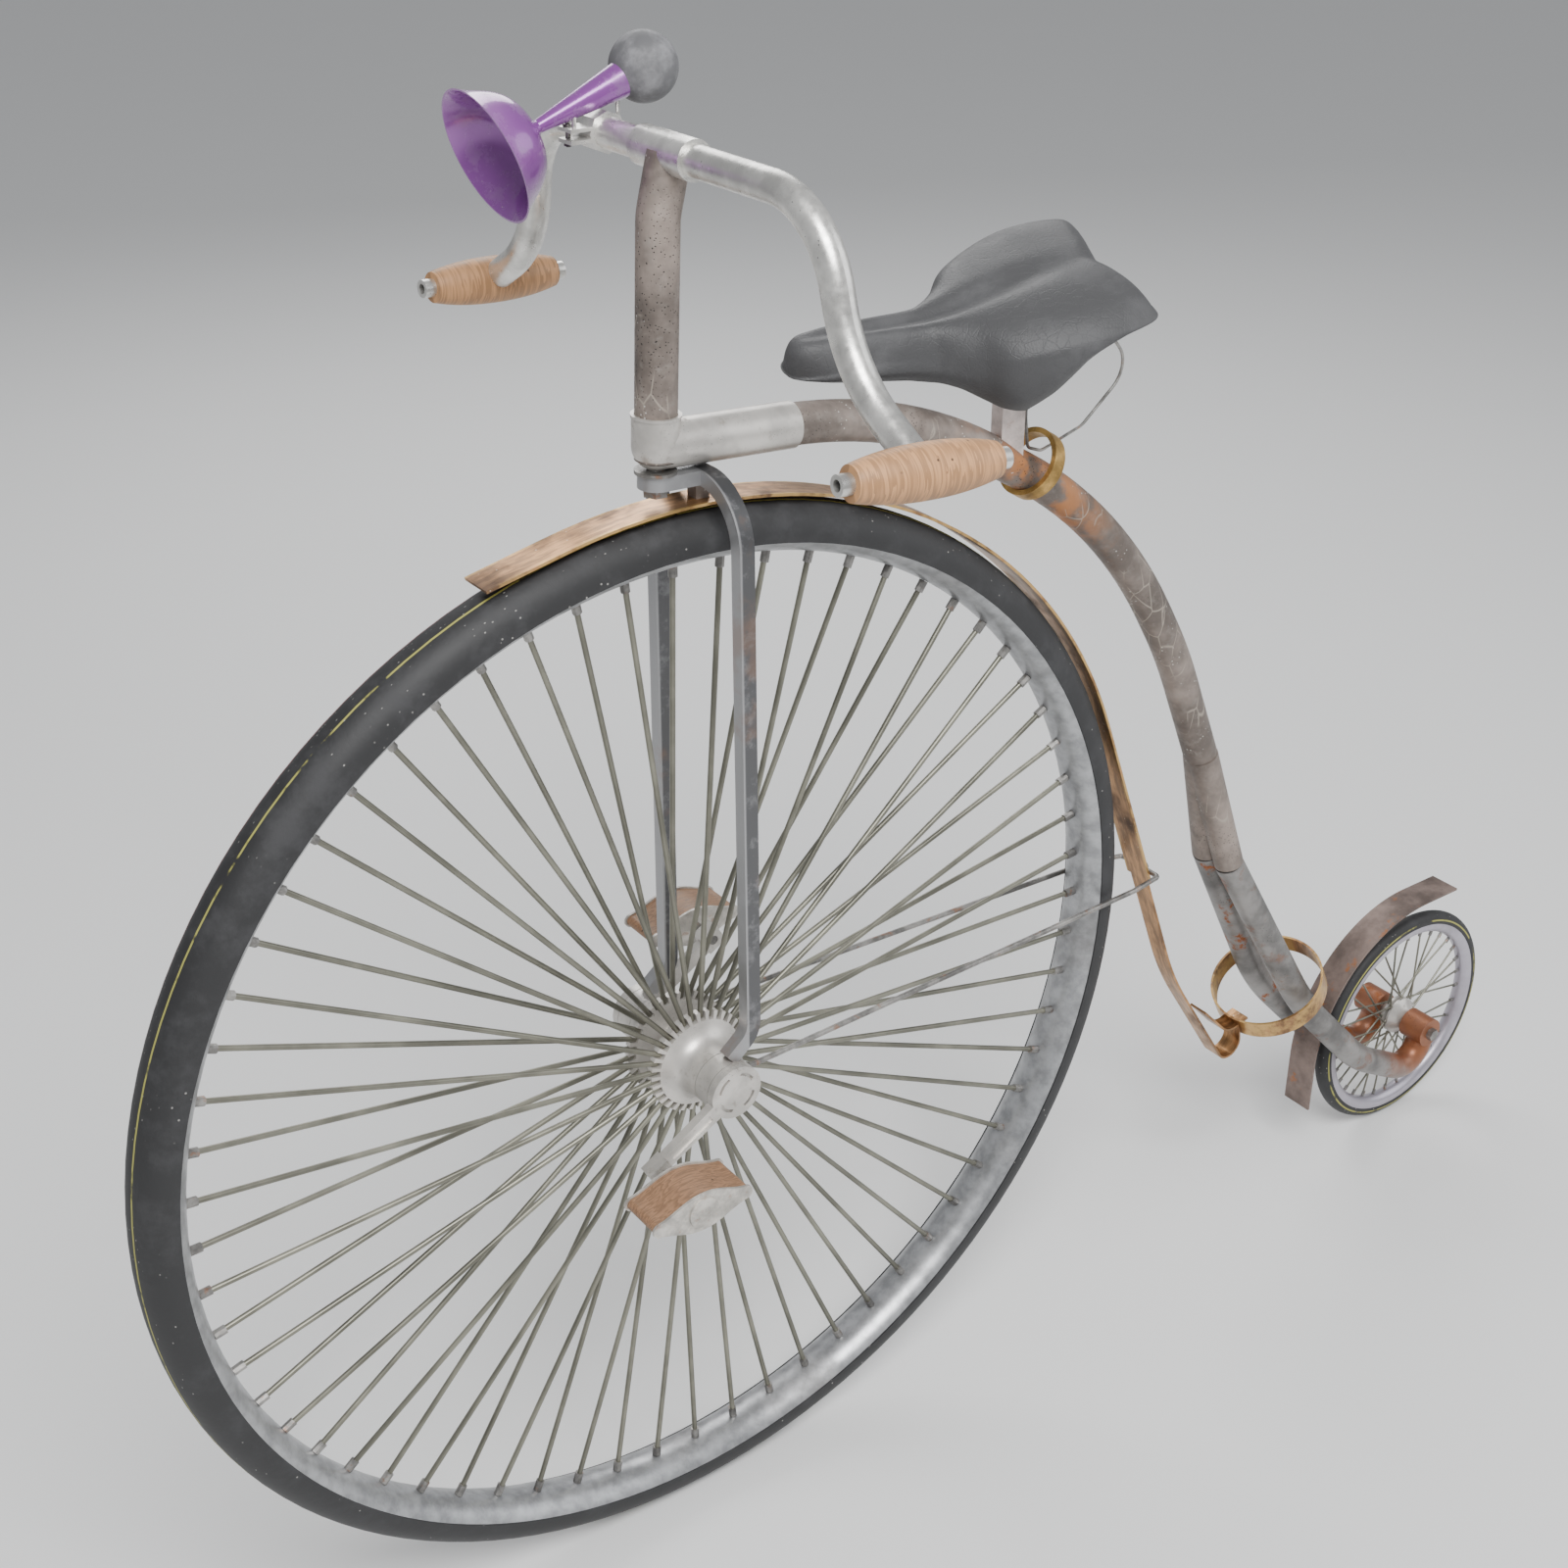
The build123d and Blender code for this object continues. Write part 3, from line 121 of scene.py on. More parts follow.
class BikeColours(bpy.types.PropertyGroup):
    """Main colours of the finishes."""

    patina: colour("Tube patina", "Grey-brown of the backbone and stem", (0.235, 0.195, 0.170))
    casting: colour("Castings", "Off-white of hub, cranks and lug", (0.560, 0.535, 0.500))
    fork: colour("Fork", "Dark steel of the fork", (0.150, 0.150, 0.155))
    legs: colour("Rear legs", "Grey of the rear legs", (0.190, 0.182, 0.175))
    copper: colour("Copper strip", "Mudguard and strap", (0.360, 0.195, 0.085))
    dull: colour("Dull strip", "Rear mudguard", (0.200, 0.150, 0.130))
    steel: colour("Small steel", "Bolts, nuts and stays", (0.300, 0.290, 0.275))
    bronze: colour("Bronze", "Bushes and backbone ring", (0.480, 0.300, 0.095))
    post: colour("Saddle post", "Pale post under the seat", (0.600, 0.520, 0.490))
    nickel: colour("Nickel", "Handlebar and clamps", (0.660, 0.650, 0.620))
    purple: colour("Horn lacquer", "Purple lacquer of the horn", (0.235, 0.060, 0.300))
    bulb: colour("Horn bulb", "Rubber of the bulb", (0.110, 0.110, 0.115))
    grip: colour("Grips", "Turned wood of the grips", (0.470, 0.250, 0.115))
    pedal_wood: colour("Pedal wood", "Brown wood of the pedals", (0.280, 0.155, 0.085))
    plate: colour("Pedal plates", "Pale metal of the pedal plates", (0.520, 0.495, 0.455))
    leather: colour("Saddle leather", "Dark grey leather", (0.060, 0.060, 0.062))
    spokes: colour("Spokes", "Olive steel of the spokes", (0.190, 0.185, 0.150))
    rim: colour("Rims", "Satin grey of the rims", (0.360, 0.365, 0.375))
    tyre: colour("Tyres", "Charcoal rubber", (0.018, 0.018, 0.019))
    line: colour("Tyre line", "Thin yellow-green line on the tyres", (0.420, 0.400, 0.090))
    floor: colour("Floor", "Pale floor", (0.800, 0.800, 0.795))


# ---------------------------------------------------------------- shader maths

def find_socket(sockets, key):
    if isinstance(key, int):
        return sockets[key]
    for socket in sockets:
        if socket.identifier == key or socket.name == key:
            return socket
    raise KeyError(key)


class Val:
    """A node's socket; arithmetic on it adds Math nodes."""

    def __init__(self, paint, socket):
        self.paint = paint
        self.socket = socket

    def maths(self, operation, first, second=0.0):
        return self.paint.add("ShaderNodeMath", {"operation": operation}, {0: first, 1: second})

    def __add__(self, other):
        return self.maths("ADD", self, other)

    def __sub__(self, other):
        return self.maths("SUBTRACT", self, other)

    def __mul__(self, other):
        return self.maths("MULTIPLY", self, other)

    def __pow__(self, other):
        return self.maths("POWER", self, other)

    def __rsub__(self, other):
        return self.maths("SUBTRACT", other, self)

    def __radd__(self, other):
        return self.maths("ADD", other, self)

    def __rmul__(self, other):
        return self.maths("MULTIPLY", other, self)

    def __abs__(self):
        return self.maths("ABSOLUTE", self)


class Paint:
    """One material: its node tree and the patterns that the finishes share."""

    def __init__(self, name):
        self.material = bpy.data.materials.new(name)
        self.material.use_nodes = True
        self.tree = self.material.node_tree
        self.shader = self.tree.nodes["Principled BSDF"]
        self.place = self.add("ShaderNodeTexCoord", out="Object")

    def add(self, kind, settings=None, inputs=None, out=0):
        node = self.tree.nodes.new(kind)
        for key, value in (settings or {}).items():
            setattr(node, key, value)
        for key, value in (inputs or {}).items():
            socket = find_socket(node.inputs, key)
            if isinstance(value, Val):
                self.tree.links.new(value.socket, socket)
            else:
                socket.default_value = value
        return Val(self, find_socket(node.outputs, out))

    def axes(self):
        split = self.add("ShaderNodeSeparateXYZ", None, {0: self.place})
        return [Val(self, split.socket.node.outputs[i]) for i in range(3)]

    def stretched(self, scale):
        return self.add("ShaderNodeMapping", None, {"Vector": self.place, "Scale": scale})

    def cloud(self, scale, detail=4.0, rough=0.6, place=None):
        inputs = {"Vector": place or self.place, "Scale": scale, "Detail": detail, "Roughness": rough}
        return self.add("ShaderNodeTexNoise", None, inputs)

    def cells(self, scale, feature="F1", place=None):
        inputs = {"Vector": place or self.place, "Scale": scale}
        return self.add("ShaderNodeTexVoronoi", {"feature": feature}, inputs, "Distance")

    def between(self, value, low, high):
        """0 below low, 1 above high, or the other way round when low is the larger."""
        inputs = {"Value": value, "From Min": low, "From Max": high}
        return self.add("ShaderNodeMapRange", {"clamp": True, "interpolation_type": "SMOOTHSTEP"}, inputs)

    def mix(self, share, first, second):
        def as_colour(c):
            return c if isinstance(c, Val) else (*c, 1.0)

        inputs = {"Factor_Float": share, "A_Color": as_colour(first), "B_Color": as_colour(second)}
        return self.add("ShaderNodeMix", {"data_type": "RGBA"}, inputs, "Result_Color")

    def from_axle(self, axle):
        """Distance from an axle that runs along Y."""
        x, _, z = self.axes()
        return ((x - axle.x) ** 2 + (z - axle.z) ** 2) ** 0.5

    def finish(self, base, rough, metal=0.0, height=None, strength=0.3, depth=0.001, **sockets):
        values = {"Base Color": base, "Roughness": rough, "Metallic": metal}
        values.update(sockets)
        if height is not None:
            bump = {"Height": height, "Strength": strength, "Distance": depth}
            values["Normal"] = self.add("ShaderNodeBump", None, bump)
        for key, value in values.items():
            socket = self.shader.inputs[key]
            if isinstance(value, Val):
                self.tree.links.new(value.socket, socket)
            elif key == "Base Color":
                socket.default_value = (*value, 1.0)
            else:
                socket.default_value = value
        return self.material


def shade(tint, share):
    return tuple(min(1.0, c * share) for c in tint)


# ---------------------------------------------------------------- finishes

def pitted_tube(tint):
    p = Paint("patina_tube")
    x = p.axes()[0]
    broad = p.cloud(9.0, 5.0, 0.65)
    fine = p.cloud(70.0, 4.0, 0.7)
    cluster = p.between(p.cloud(7.0, 2.0, 0.5), 0.48, 0.62)
    pits = p.between(p.cells(330.0), 0.26, 0.12) * cluster
    flecks = p.between(p.cells(210.0), 0.20, 0.10) * p.between(p.cloud(16.0, 2.0), 0.52, 0.60)
    cracks = p.between(p.cells(55.0, "DISTANCE_TO_EDGE", p.stretched((1.0, 1.0, 0.35))), 0.035, 0.0)
    cracks = cracks * p.between(p.cloud(12.0), 0.50, 0.60)
    base = p.mix(p.between(broad, 0.35, 0.68), shade(tint, 0.55), shade(tint, 1.55))
    base = p.mix(p.between(fine, 0.5, 0.75) * 0.5, base, (0.33, 0.30, 0.27))
    warm = p.between(abs(x - (POST_X - 0.03)), 0.12, 0.02) * p.between(p.cloud(30.0, 5.0), 0.42, 0.60)
    base = p.mix(warm * 0.85, base, (0.46, 0.185, 0.060))
    base = p.mix(cracks * 0.8, base, (0.42, 0.37, 0.31))
    base = p.mix(pits, base, (0.012, 0.011, 0.011))
    base = p.mix(flecks, base, (0.62, 0.60, 0.56))
    height = fine * 0.5 - pits * 1.2 + flecks * 0.3
    return p.finish(base, p.between(fine, 0.2, 0.8) * 0.3 + 0.38, 0.45, height, 0.35, 0.0012)


def speckled_casting(tint):
    p = Paint("pale_casting")
    broad = p.cloud(22.0, 4.0)
    specks = p.between(p.cells(420.0), 0.17, 0.08) * p.between(p.cloud(35.0, 2.0), 0.46, 0.58)
    grime = p.between(p.cloud(60.0, 6.0, 0.7), 0.56, 0.74)
    base = p.mix(p.between(broad, 0.35, 0.65), shade(tint, 0.82), shade(tint, 1.18))
    base = p.mix(grime * 0.55, base, (0.20, 0.165, 0.125))
    base = p.mix(specks, base, (0.035, 0.030, 0.028))
    height = p.cloud(160.0, 3.0) * 0.4 - specks
    return p.finish(base, 0.36 + grime * 0.3, 0.55, height, 0.25, 0.0008)


def rusted_legs(tint):
    p = Paint("rusty_leg")
    y = p.axes()[1]
    far = p.from_axle(REAR_AXLE)
    spots = p.between(p.cloud(26.0, 6.0, 0.7), 0.54, 0.64)
    end = p.between(far + p.cloud(40.0) * 0.05, 0.115, 0.055)
    rust = p.mix(p.cloud(90.0, 4.0), (0.40, 0.13, 0.035), (0.22, 0.075, 0.035))
    base = p.mix(p.between(p.cloud(14.0, 5.0), 0.35, 0.65), shade(tint, 0.6), shade(tint, 1.6))
    base = p.mix(spots * p.between(y, 0.03, -0.02) + spots * 0.35, base, rust)
    base = p.mix(end * 0.85, base, rust)
    pits = p.between(p.cells(300.0), 0.2, 0.1) * p.between(p.cloud(18.0, 2.0), 0.5, 0.6)
    base = p.mix(pits, base, (0.02, 0.018, 0.018))
    return p.finish(base, 0.42 + spots * 0.3, 0.5, p.cloud(120.0, 4.0) - pits, 0.3, 0.001)


def copper(tint):
    p = Paint("copper_strip")
    y = p.axes()[1]
    streak = p.cloud(30.0, 5.0, 0.65, p.stretched((1.0, 6.0, 1.0)))
    tarnish = p.between(p.cloud(11.0, 5.0, 0.6), 0.45, 0.66)
    # Painted glint: mask of the strip's two long edges, broken up by noise, where a lighter gold is painted.
    edge = p.between(abs(y), 0.0135, 0.0172) * p.between(p.cloud(50.0), 0.35, 0.55)
    base = p.mix(p.between(streak, 0.35, 0.65), shade(tint, 0.65), shade(tint, 1.45))
    base = p.mix(tarnish * 0.75, base, (0.085, 0.060, 0.052))
    # painted glint: the edges are painted a lighter gold
    base = p.mix(edge * 0.8, base, (0.62, 0.40, 0.15))
    scuffs = p.between(p.cells(150.0), 0.13, 0.06) * p.between(p.cloud(22.0), 0.5, 0.58)
    base = p.mix(scuffs, base, (0.60, 0.50, 0.40))
    return p.finish(base, 0.30 + tarnish * 0.3, 0.85, streak, 0.2, 0.0008)


def weathered(name, tint, dark, rough, metal, scale=30.0, rust=0.0):
    """Plain metal or paint with broad mottling, fine grain and, where asked, rust."""
    p = Paint(name)
    broad = p.cloud(scale, 5.0, 0.65)
    grain = p.cloud(scale * 9.0, 3.0)
    base = p.mix(p.between(broad, 0.34, 0.68), shade(tint, dark), shade(tint, 1.3))
    spots = p.between(p.cloud(scale * 1.9, 6.0, 0.7), 0.57, 0.66) * rust
    base = p.mix(spots, base, (0.34, 0.13, 0.045))
    nicks = p.between(p.cells(scale * 9.0), 0.12, 0.06) * p.between(p.cloud(scale * 0.7), 0.52, 0.6)
    base = p.mix(nicks * 0.7, base, (0.02, 0.02, 0.02))
    return p.finish(base, p.between(grain, 0.2, 0.8) * 0.18 + rough, metal, grain - nicks, 0.2, 0.0006)


def dark_fork(tint):
    p = Paint("dark_steel")
    x = p.axes()[0]
    front = p.between(x - FRONT_AXLE.x + BLADE_BACK, 0.0045, 0.0062)
    wear = p.between(p.cloud(40.0, 5.0, 0.7), 0.50, 0.68)
    base = p.mix(wear, shade(tint, 0.7), shade(tint, 1.5))
    base = p.mix(front * 0.6, base, (0.50, 0.50, 0.51))
    base = p.mix(p.between(p.cloud(9.0, 5.0, 0.7), 0.55, 0.68) * 0.35, base, (0.30, 0.17, 0.11))
    return p.finish(base, 0.34 + wear * 0.2, 0.7, p.cloud(220.0, 3.0), 0.15, 0.0006)


def horn_lacquer(tint):
    p = Paint("purple_lacquer")
    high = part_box("horn_bell")[1]
    dust = p.between(p.cloud(45.0, 5.0, 0.7), 0.48, 0.72)
    depth = p.between(p.axes()[0], high.x - 0.034, high.x - 0.006)
    base = p.mix(dust * 0.45, tint, (0.27, 0.17, 0.30))
    base = p.mix(depth * 0.45, base, (0.44, 0.16, 0.52))
    chips = p.between(p.cells(170.0), 0.10, 0.05) * p.between(p.cloud(25.0), 0.52, 0.6)
    base = p.mix(chips, base, (0.55, 0.52, 0.50))
    return p.finish(base, 0.22 + dust * 0.22, 0.35, dust, 0.06, 0.0004, **{"Coat Weight": 0.6})


def rubber_bulb(tint):
    p = Paint("bulb_rubber")
    haze = p.cloud(38.0, 5.0, 0.65)
    base = p.mix(p.between(haze, 0.4, 0.7), tint, shade(tint, 2.1))
    return p.finish(base, 0.62, 0.0, p.cloud(260.0, 3.0), 0.18, 0.0006)


def wood(name, tint, axis_scale, rough):
    """Turned or cut wood: growth rings stretched along the grain, pores and dents."""
    p = Paint(name)
    place = p.stretched(axis_scale)
    rings = p.cloud(34.0, 3.0, 0.55, place)
    bands = p.between(p.add("ShaderNodeMath", {"operation": "FRACT"}, {0: rings * 9.0}), 0.15, 0.9)
    base = p.mix(bands, shade(tint, 0.74), shade(tint, 1.16))
    pores = p.between(p.cells(200.0, "F1", place), 0.10, 0.03) * p.between(p.cloud(40.0), 0.5, 0.6)
    dents = p.between(p.cells(90.0), 0.13, 0.07) * p.between(p.cloud(30.0), 0.5, 0.58)
    base = p.mix(pores * 0.7, base, shade(tint, 0.25))
    base = p.mix(dents, base, shade(tint, 0.12))
    return p.finish(base, 0.46 + bands * 0.1, 0.0, bands * 0.3 - pores - dents, rough, 0.0008)


def seat_leather(tint):
    p = Paint("saddle_leather")
    edge = p.add("ShaderNodeAttribute", {"attribute_name": "lower_edge"}, out="Fac")
    grain = p.cells(520.0)
    worn = p.between(p.cloud(20.0, 5.0, 0.6), 0.45, 0.72)
    base = p.mix(worn * 0.5, tint, shade(tint, 1.8))
    base = p.mix(edge * 0.5, base, (0.12, 0.118, 0.115))
    creases = p.between(p.cells(95.0, "DISTANCE_TO_EDGE"), 0.05, 0.0)
    height = grain * 0.6 - creases * 0.5 + worn * 0.2
    return p.finish(base, 0.50 + worn * 0.14, 0.0, height, 0.35, 0.0008, **{"Specular IOR Level": 0.35})


def spoke_finish(tint):
    p = Paint("spoke_steel")
    dull = p.between(p.cloud(11.0, 4.0, 0.6), 0.35, 0.70)
    base = p.mix(dull, shade(tint, 0.8), shade(tint, 1.5))
    return p.finish(base, 0.36 + dull * 0.1, 0.75, dull, 0.05, 0.0004)


def rim_finish(tint):
    p = Paint("rim_grey")
    radius = p.from_axle(FRONT_AXLE)
    rear = p.between(radius, FRONT_R + 0.02, FRONT_R + 0.05)
    brushed = p.cloud(60.0, 4.0, 0.6)
    dirt = p.between(p.cloud(9.0, 5.0, 0.6), 0.50, 0.75)
    base = p.mix(p.between(brushed, 0.3, 0.7), shade(tint, 0.75), shade(tint, 1.2))
    base = p.mix(rear * 0.7, base, (0.50, 0.46, 0.54))
    base = p.mix(dirt * 0.35, base, (0.16, 0.145, 0.13))
    return p.finish(base, 0.34 + dirt * 0.25, 0.7, brushed, 0.12, 0.0005)


def ring_line(p, value, at, half):
    """1 on a thin line where value is at."""
    return p.between(abs(value - at), half, half * 0.55)


def tyre_finish(tint, line):
    p = Paint("tyre_rubber")
    y = p.axes()[1]
    front = p.from_axle(FRONT_AXLE)
    rear = p.from_axle(REAR_AXLE)
    broken = p.between(p.cloud(28.0, 4.0), 0.36, 0.46)
    haze = p.between(p.cloud(24.0, 5.0, 0.7), 0.45, 0.70)
    base = p.mix(haze * 0.7, tint, shade(tint, 2.4))
    nicks = p.between(p.cells(120.0, "F1", p.stretched((1.0, 2.4, 1.0))), 0.14, 0.07)
    nicks = nicks * p.between(p.cloud(14.0, 2.0), 0.50, 0.57)
    tread = p.between(front, FRONT_R - 0.008, FRONT_R - 0.006)
    tread = tread * p.between(front, FRONT_R + 0.02, FRONT_R + 0.01)
    yellow = ring_line(p, y, 0.0069, 0.0011) * tread + ring_line(p, rear, REAR_R - 0.0085, 0.0012)
    base = p.mix(yellow * broken * 0.85, base, line)
    red = ring_line(p, y, -0.0120, 0.0009) * tread
    base = p.mix(red * broken * 0.7, base, (0.45, 0.13, 0.12))
    base = p.mix(nicks * 0.8, base, (0.34, 0.33, 0.31))
    return p.finish(base, 0.60 + haze * 0.12, 0.0, p.cloud(180.0, 3.0) - nicks, 0.25, 0.0008)


def make_finishes(c):
    return {
        "patina_tube": pitted_tube(c.patina),
        "pale_casting": speckled_casting(c.casting),
        "dark_steel": dark_fork(c.fork),
        "rusty_leg": rusted_legs(c.legs),
        "copper_strip": copper(c.copper),
        "dull_strip": weathered("dull_strip", c.dull, 0.55, 0.45, 0.55, 16.0, 0.8),
        "small_steel": weathered("small_steel", c.steel, 0.5, 0.36, 0.8, 40.0, 0.5),
        "bush_bronze": weathered("bush_bronze", c.bronze, 0.55, 0.36, 0.85, 50.0),
        "pale_post": weathered("pale_post", c.post, 0.75, 0.42, 0.3, 40.0, 0.3),
        "nickel": weathered("nickel", c.nickel, 0.80, 0.24, 0.85, 18.0),
        "purple_lacquer": horn_lacquer(c.purple),
        "bulb_rubber": rubber_bulb(c.bulb),
        "turned_wood": wood("turned_wood", c.grip, (2.4, 0.25, 0.25), 0.3),
        "pedal_wood": wood("pedal_wood", c.pedal_wood, (0.4, 3.0, 2.0), 0.3),
        "pedal_plate": weathered("pedal_plate", c.plate, 0.7, 0.38, 0.6, 45.0, 0.4),
        "saddle_leather": seat_leather(c.leather),
        "spoke_steel": spoke_finish(c.spokes),
        "rim_grey": rim_finish(c.rim),
        "tyre_rubber": tyre_finish(c.tyre, c.line),
    }


def finish_named(name):
    return bpy.data.materials[name]


class BIKE_OT_finishes(bpy.types.Operator):
    """Makes every finish and puts it on the parts that have it."""

    bl_idname = "bike.finishes"
    bl_label = "Finishes"

    def execute(self, context):
        for plain in list(bpy.data.materials):
            bpy.data.materials.remove(plain)
        finishes = make_finishes(context.scene.bike_colours)
        for entry in frame["record"]["subparts"]:
            part = NODES[entry["node"]]
            part.data.materials.clear()
            part.data.materials.append(finishes[entry["material_slot"]])
        return {"FINISHED"}


# ---------------------------------------------------------------- saddle

SADDLE_YAW = -15.0
SADDLE_PITCH = 9.0
SADDLE_ROLL = -12.0
SKIRT_AT = (-0.062, -0.025, 0.005, 0.030, 0.050, 0.075, 0.115)  # along the seat, from the post
SKIRT_DROP = (0.018, 0.021, 0.034, 0.056, 0.068, 0.064, 0.048, 0.036, 0.024, 0.014)  # tail to nose
OUTLINE_POINTS = 168
EDGE_DROP = 0.012  # the seat's edge rounds down this far
ROWS_ACROSS = (0.0, 0.08, 0.16, 0.26, 0.38, 0.50, 0.62, 0.73, 0.82, 0.89, 0.945, 0.98, 1.0)
ROWS_DOWN = (0.10, 0.22, 0.36, 0.50, 0.64, 0.78, 0.89, 0.96, 1.0)


def saddle_frame(height):
    turn = Matrix.Rotation(math.radians(SADDLE_YAW), 4, "Z")
    turn = turn @ Matrix.Rotation(math.radians(SADDLE_PITCH), 4, "Y")
    turn = turn @ Matrix.Rotation(math.radians(SADDLE_ROLL), 4, "X")
    return Matrix.Translation((POST_X, 0.0, height)) @ turn


def smooth_loop(points, count):
    """count points, evenly spread, on a closed smooth curve through the given ones."""
    n = len(points)
    dense = []
    for i in range(n):
        a, b, c, d = (Vector(points[(i + k) % n]) for k in (-1, 0, 1, 2))
        for step in range(40):
            t = step / 40
            square = (2 * a - 5 * b + 4 * c - d) * t**2
            cube = (3 * b - a - 3 * c + d) * t**3
            dense.append(0.5 * (2 * b + (c - a) * t + square + cube))
    steps = [(dense[(i + 1) % len(dense)] - p).length for i, p in enumerate(dense)]
    total = np.concatenate([[0.0], np.cumsum(steps)])
    wanted = np.linspace(0.0, total[-1], count, endpoint=False)
    closed = np.array([tuple(p) for p in dense] + [tuple(dense[0])])
    return [Vector((np.interp(w, total, closed[:, 0]), np.interp(w, total, closed[:, 1]))) for w in wanted]


def saddle_mesh(s):
    """The seat's outer side: rows from its middle line out to the edge, then down the skirt."""
    nose, tail, wing, neck = s.saddle_nose, s.saddle_tail, s.saddle_half_width, s.saddle_neck
    half = [
        (nose - 0.008, neck * 0.66),
        (nose - 0.035, neck * 0.96),
        (nose - 0.075, neck),
        (nose - 0.125, neck + 0.004),
        (0.082, neck + 0.011),
        (0.058, wing - 0.037),
        (0.032, wing - 0.014),
        (-0.030, wing),
        (0.012 - tail, wing - 0.006),
        (0.001 - tail, wing - 0.024),
        (0.003 - tail, wing - 0.052),
    ]
    right = [(x, -y) for x, y in reversed(half)]
    count = OUTLINE_POINTS
    outline = smooth_loop([(nose, 0.0), *half, (0.010 - tail, 0.0), *right], count)
    skirt_x = [-tail, *SKIRT_AT, nose - 0.03, nose]
    bm = bmesh.new()
    edge_layer = bm.verts.layers.float.new("lower_edge")
    rings = []

    def top(x, y, f):
        along = min(max((nose - x) / (nose + tail), 0.0), 1.0)
        crown = s.saddle_crown * (1.0 - f**2.4)
        crease = s.saddle_crease * math.exp(-((y / (0.007 + 0.010 * along)) ** 2))
        crease *= min(1.0, 4.0 * along) * min(1.0, 3.0 * (1.0 - along))
        dish = -0.010 * math.exp(-(((x - 0.075) / 0.06) ** 2)) + 0.006 * along**2
        wide = min(1.0, max(0.0, (abs(y) - neck) / (wing - neck)))
        dish += (0.016 if y < 0 else 0.003) * wide * wide
        return crown - crease + dish - s.saddle_crown * 0.45 - EDGE_DROP * f**6

    for f in ROWS_ACROSS:
        ring = []
        for p in outline:
            spine = Vector((min(max(p.x, 0.040 - tail), nose - 0.020), 0.0))
            q = spine.lerp(p, f)
            ring.append(bm.verts.new((q.x, q.y, top(q.x, q.y, f))))
        rings.append(ring)
    for g in ROWS_DOWN:
        ring = []
        for i, p in enumerate(outline):
            tangent = (outline[(i + 1) % count] - outline[i - 1]).normalized()
            out = Vector((tangent.y, -tangent.x))
            if out.dot(p - Vector((0.02, 0.0))) < 0:
                out = -out
            drop = float(np.interp(p.x, skirt_x, SKIRT_DROP))
            wave = 0.0025 * math.sin(p.x * 46.0 + (1.3 if p.y > 0 else 0.2))
            flare = 0.0035 * math.sin(math.pi * min(1.0, g * 1.1)) - 0.006 * g**2 + wave * g
            q = p + out * flare
            vertex = bm.verts.new((q.x, q.y, top(p.x, p.y, 1.0) - (drop - EDGE_DROP) * g))
            vertex[edge_layer] = max(0.0, (g - 0.80) / 0.20)
            ring.append(vertex)
        rings.append(ring)
    for inner, outer in zip(rings, rings[1:]):
        for i in range(count):
            k = (i + 1) % count
            bm.faces.new((inner[i], outer[i], outer[k], inner[k]))
    bmesh.ops.remove_doubles(bm, verts=bm.verts, dist=0.0002)
    bmesh.ops.dissolve_degenerate(bm, edges=bm.edges, dist=0.00005)
    bmesh.ops.recalc_face_normals(bm, faces=bm.faces)
    if sum(f.normal.z * f.calc_area() for f in bm.faces) < 0:
        bmesh.ops.reverse_faces(bm, faces=bm.faces)
    bm.transform(saddle_frame(s.saddle_height))
    return bm


def new_object(name, bm, material, smooth=True):
    mesh = bpy.data.meshes.new(name)
    bm.to_mesh(mesh)
    bm.free()
    piece = bpy.data.objects.new(name, mesh)
    bpy.context.scene.collection.objects.link(piece)
    mesh.materials.append(material)
    mesh.polygons.foreach_set("use_smooth", [smooth] * len(mesh.polygons))
    return piece


def settle(piece):
    """The piece with its modifiers worked into a plain mesh."""
    bpy.context.view_layer.update()
    evaluated = piece.evaluated_get(bpy.context.evaluated_depsgraph_get())
    mesh = bpy.data.meshes.new_from_object(evaluated)
    piece.modifiers.clear()
    piece.data = mesh
    return piece


class BIKE_OT_saddle(bpy.types.Operator):
    """Makes the formed leather seat over its plate."""

    bl_idname = "bike.saddle"
    bl_label = "Leather saddle"

    def execute(self, context):
        sizes = context.scene.bike_sizes
        saddle = new_object("saddle_leather_top", saddle_mesh(sizes), finish_named("saddle_leather"))
        shell = saddle.modifiers.new("Leather", "SOLIDIFY")
        shell.thickness = sizes.saddle_leather
        shell.offset = -1.0
        shell.use_even_offset = False
        rounding = saddle.modifiers.new("Rounding", "SUBSURF")
        rounding.levels = 1
        rounding.render_levels = 1
        settle(saddle)
        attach(saddle, "frame")
        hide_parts("saddle_cover")
        return {"FINISHED"}


# ---------------------------------------------------------------- strap

class BIKE_OT_strap(bpy.types.Operator):
    """Makes the mudguard's springy tail, which runs between the fork and the frame: the CAD tail, lengthened
    at its top end and cut into rows of faces.
    """

    bl_idname = "bike.strap"
    bl_label = "Strap tail"

    def execute(self, context):
        sizes = context.scene.bike_sizes
        low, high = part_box("mudguard_tail")
        bm = bmesh.new()
        bm.from_mesh(NODES["mudguard_tail"].data)
        bmesh.ops.remove_doubles(bm, verts=bm.verts, dist=0.00002)
        end = [v for v in bm.verts if v.co.z > high.z - 0.004]
        slope = Vector((math.sin(STRAP_SLOPE), 0.0, math.cos(STRAP_SLOPE)))
        for vertex in end:
            vertex.co += slope * (STRAP_GAP + sizes.strap_overlap)
        height = low.z + 0.01
        while height < high.z + STRAP_GAP:
            cut = [*bm.verts, *bm.edges, *bm.faces]
            bmesh.ops.bisect_plane(bm, geom=cut, plane_co=(0, 0, height), plane_no=(0, 0, 1), dist=1e-6)
            height += STRAP_STEP
        strap = new_object("mudguard_strap_tail", bm, finish_named("copper_strip"), False)
        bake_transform(strap)
        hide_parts("mudguard_tail")
        return {"FINISHED"}


# ---------------------------------------------------------------- spoke nipples

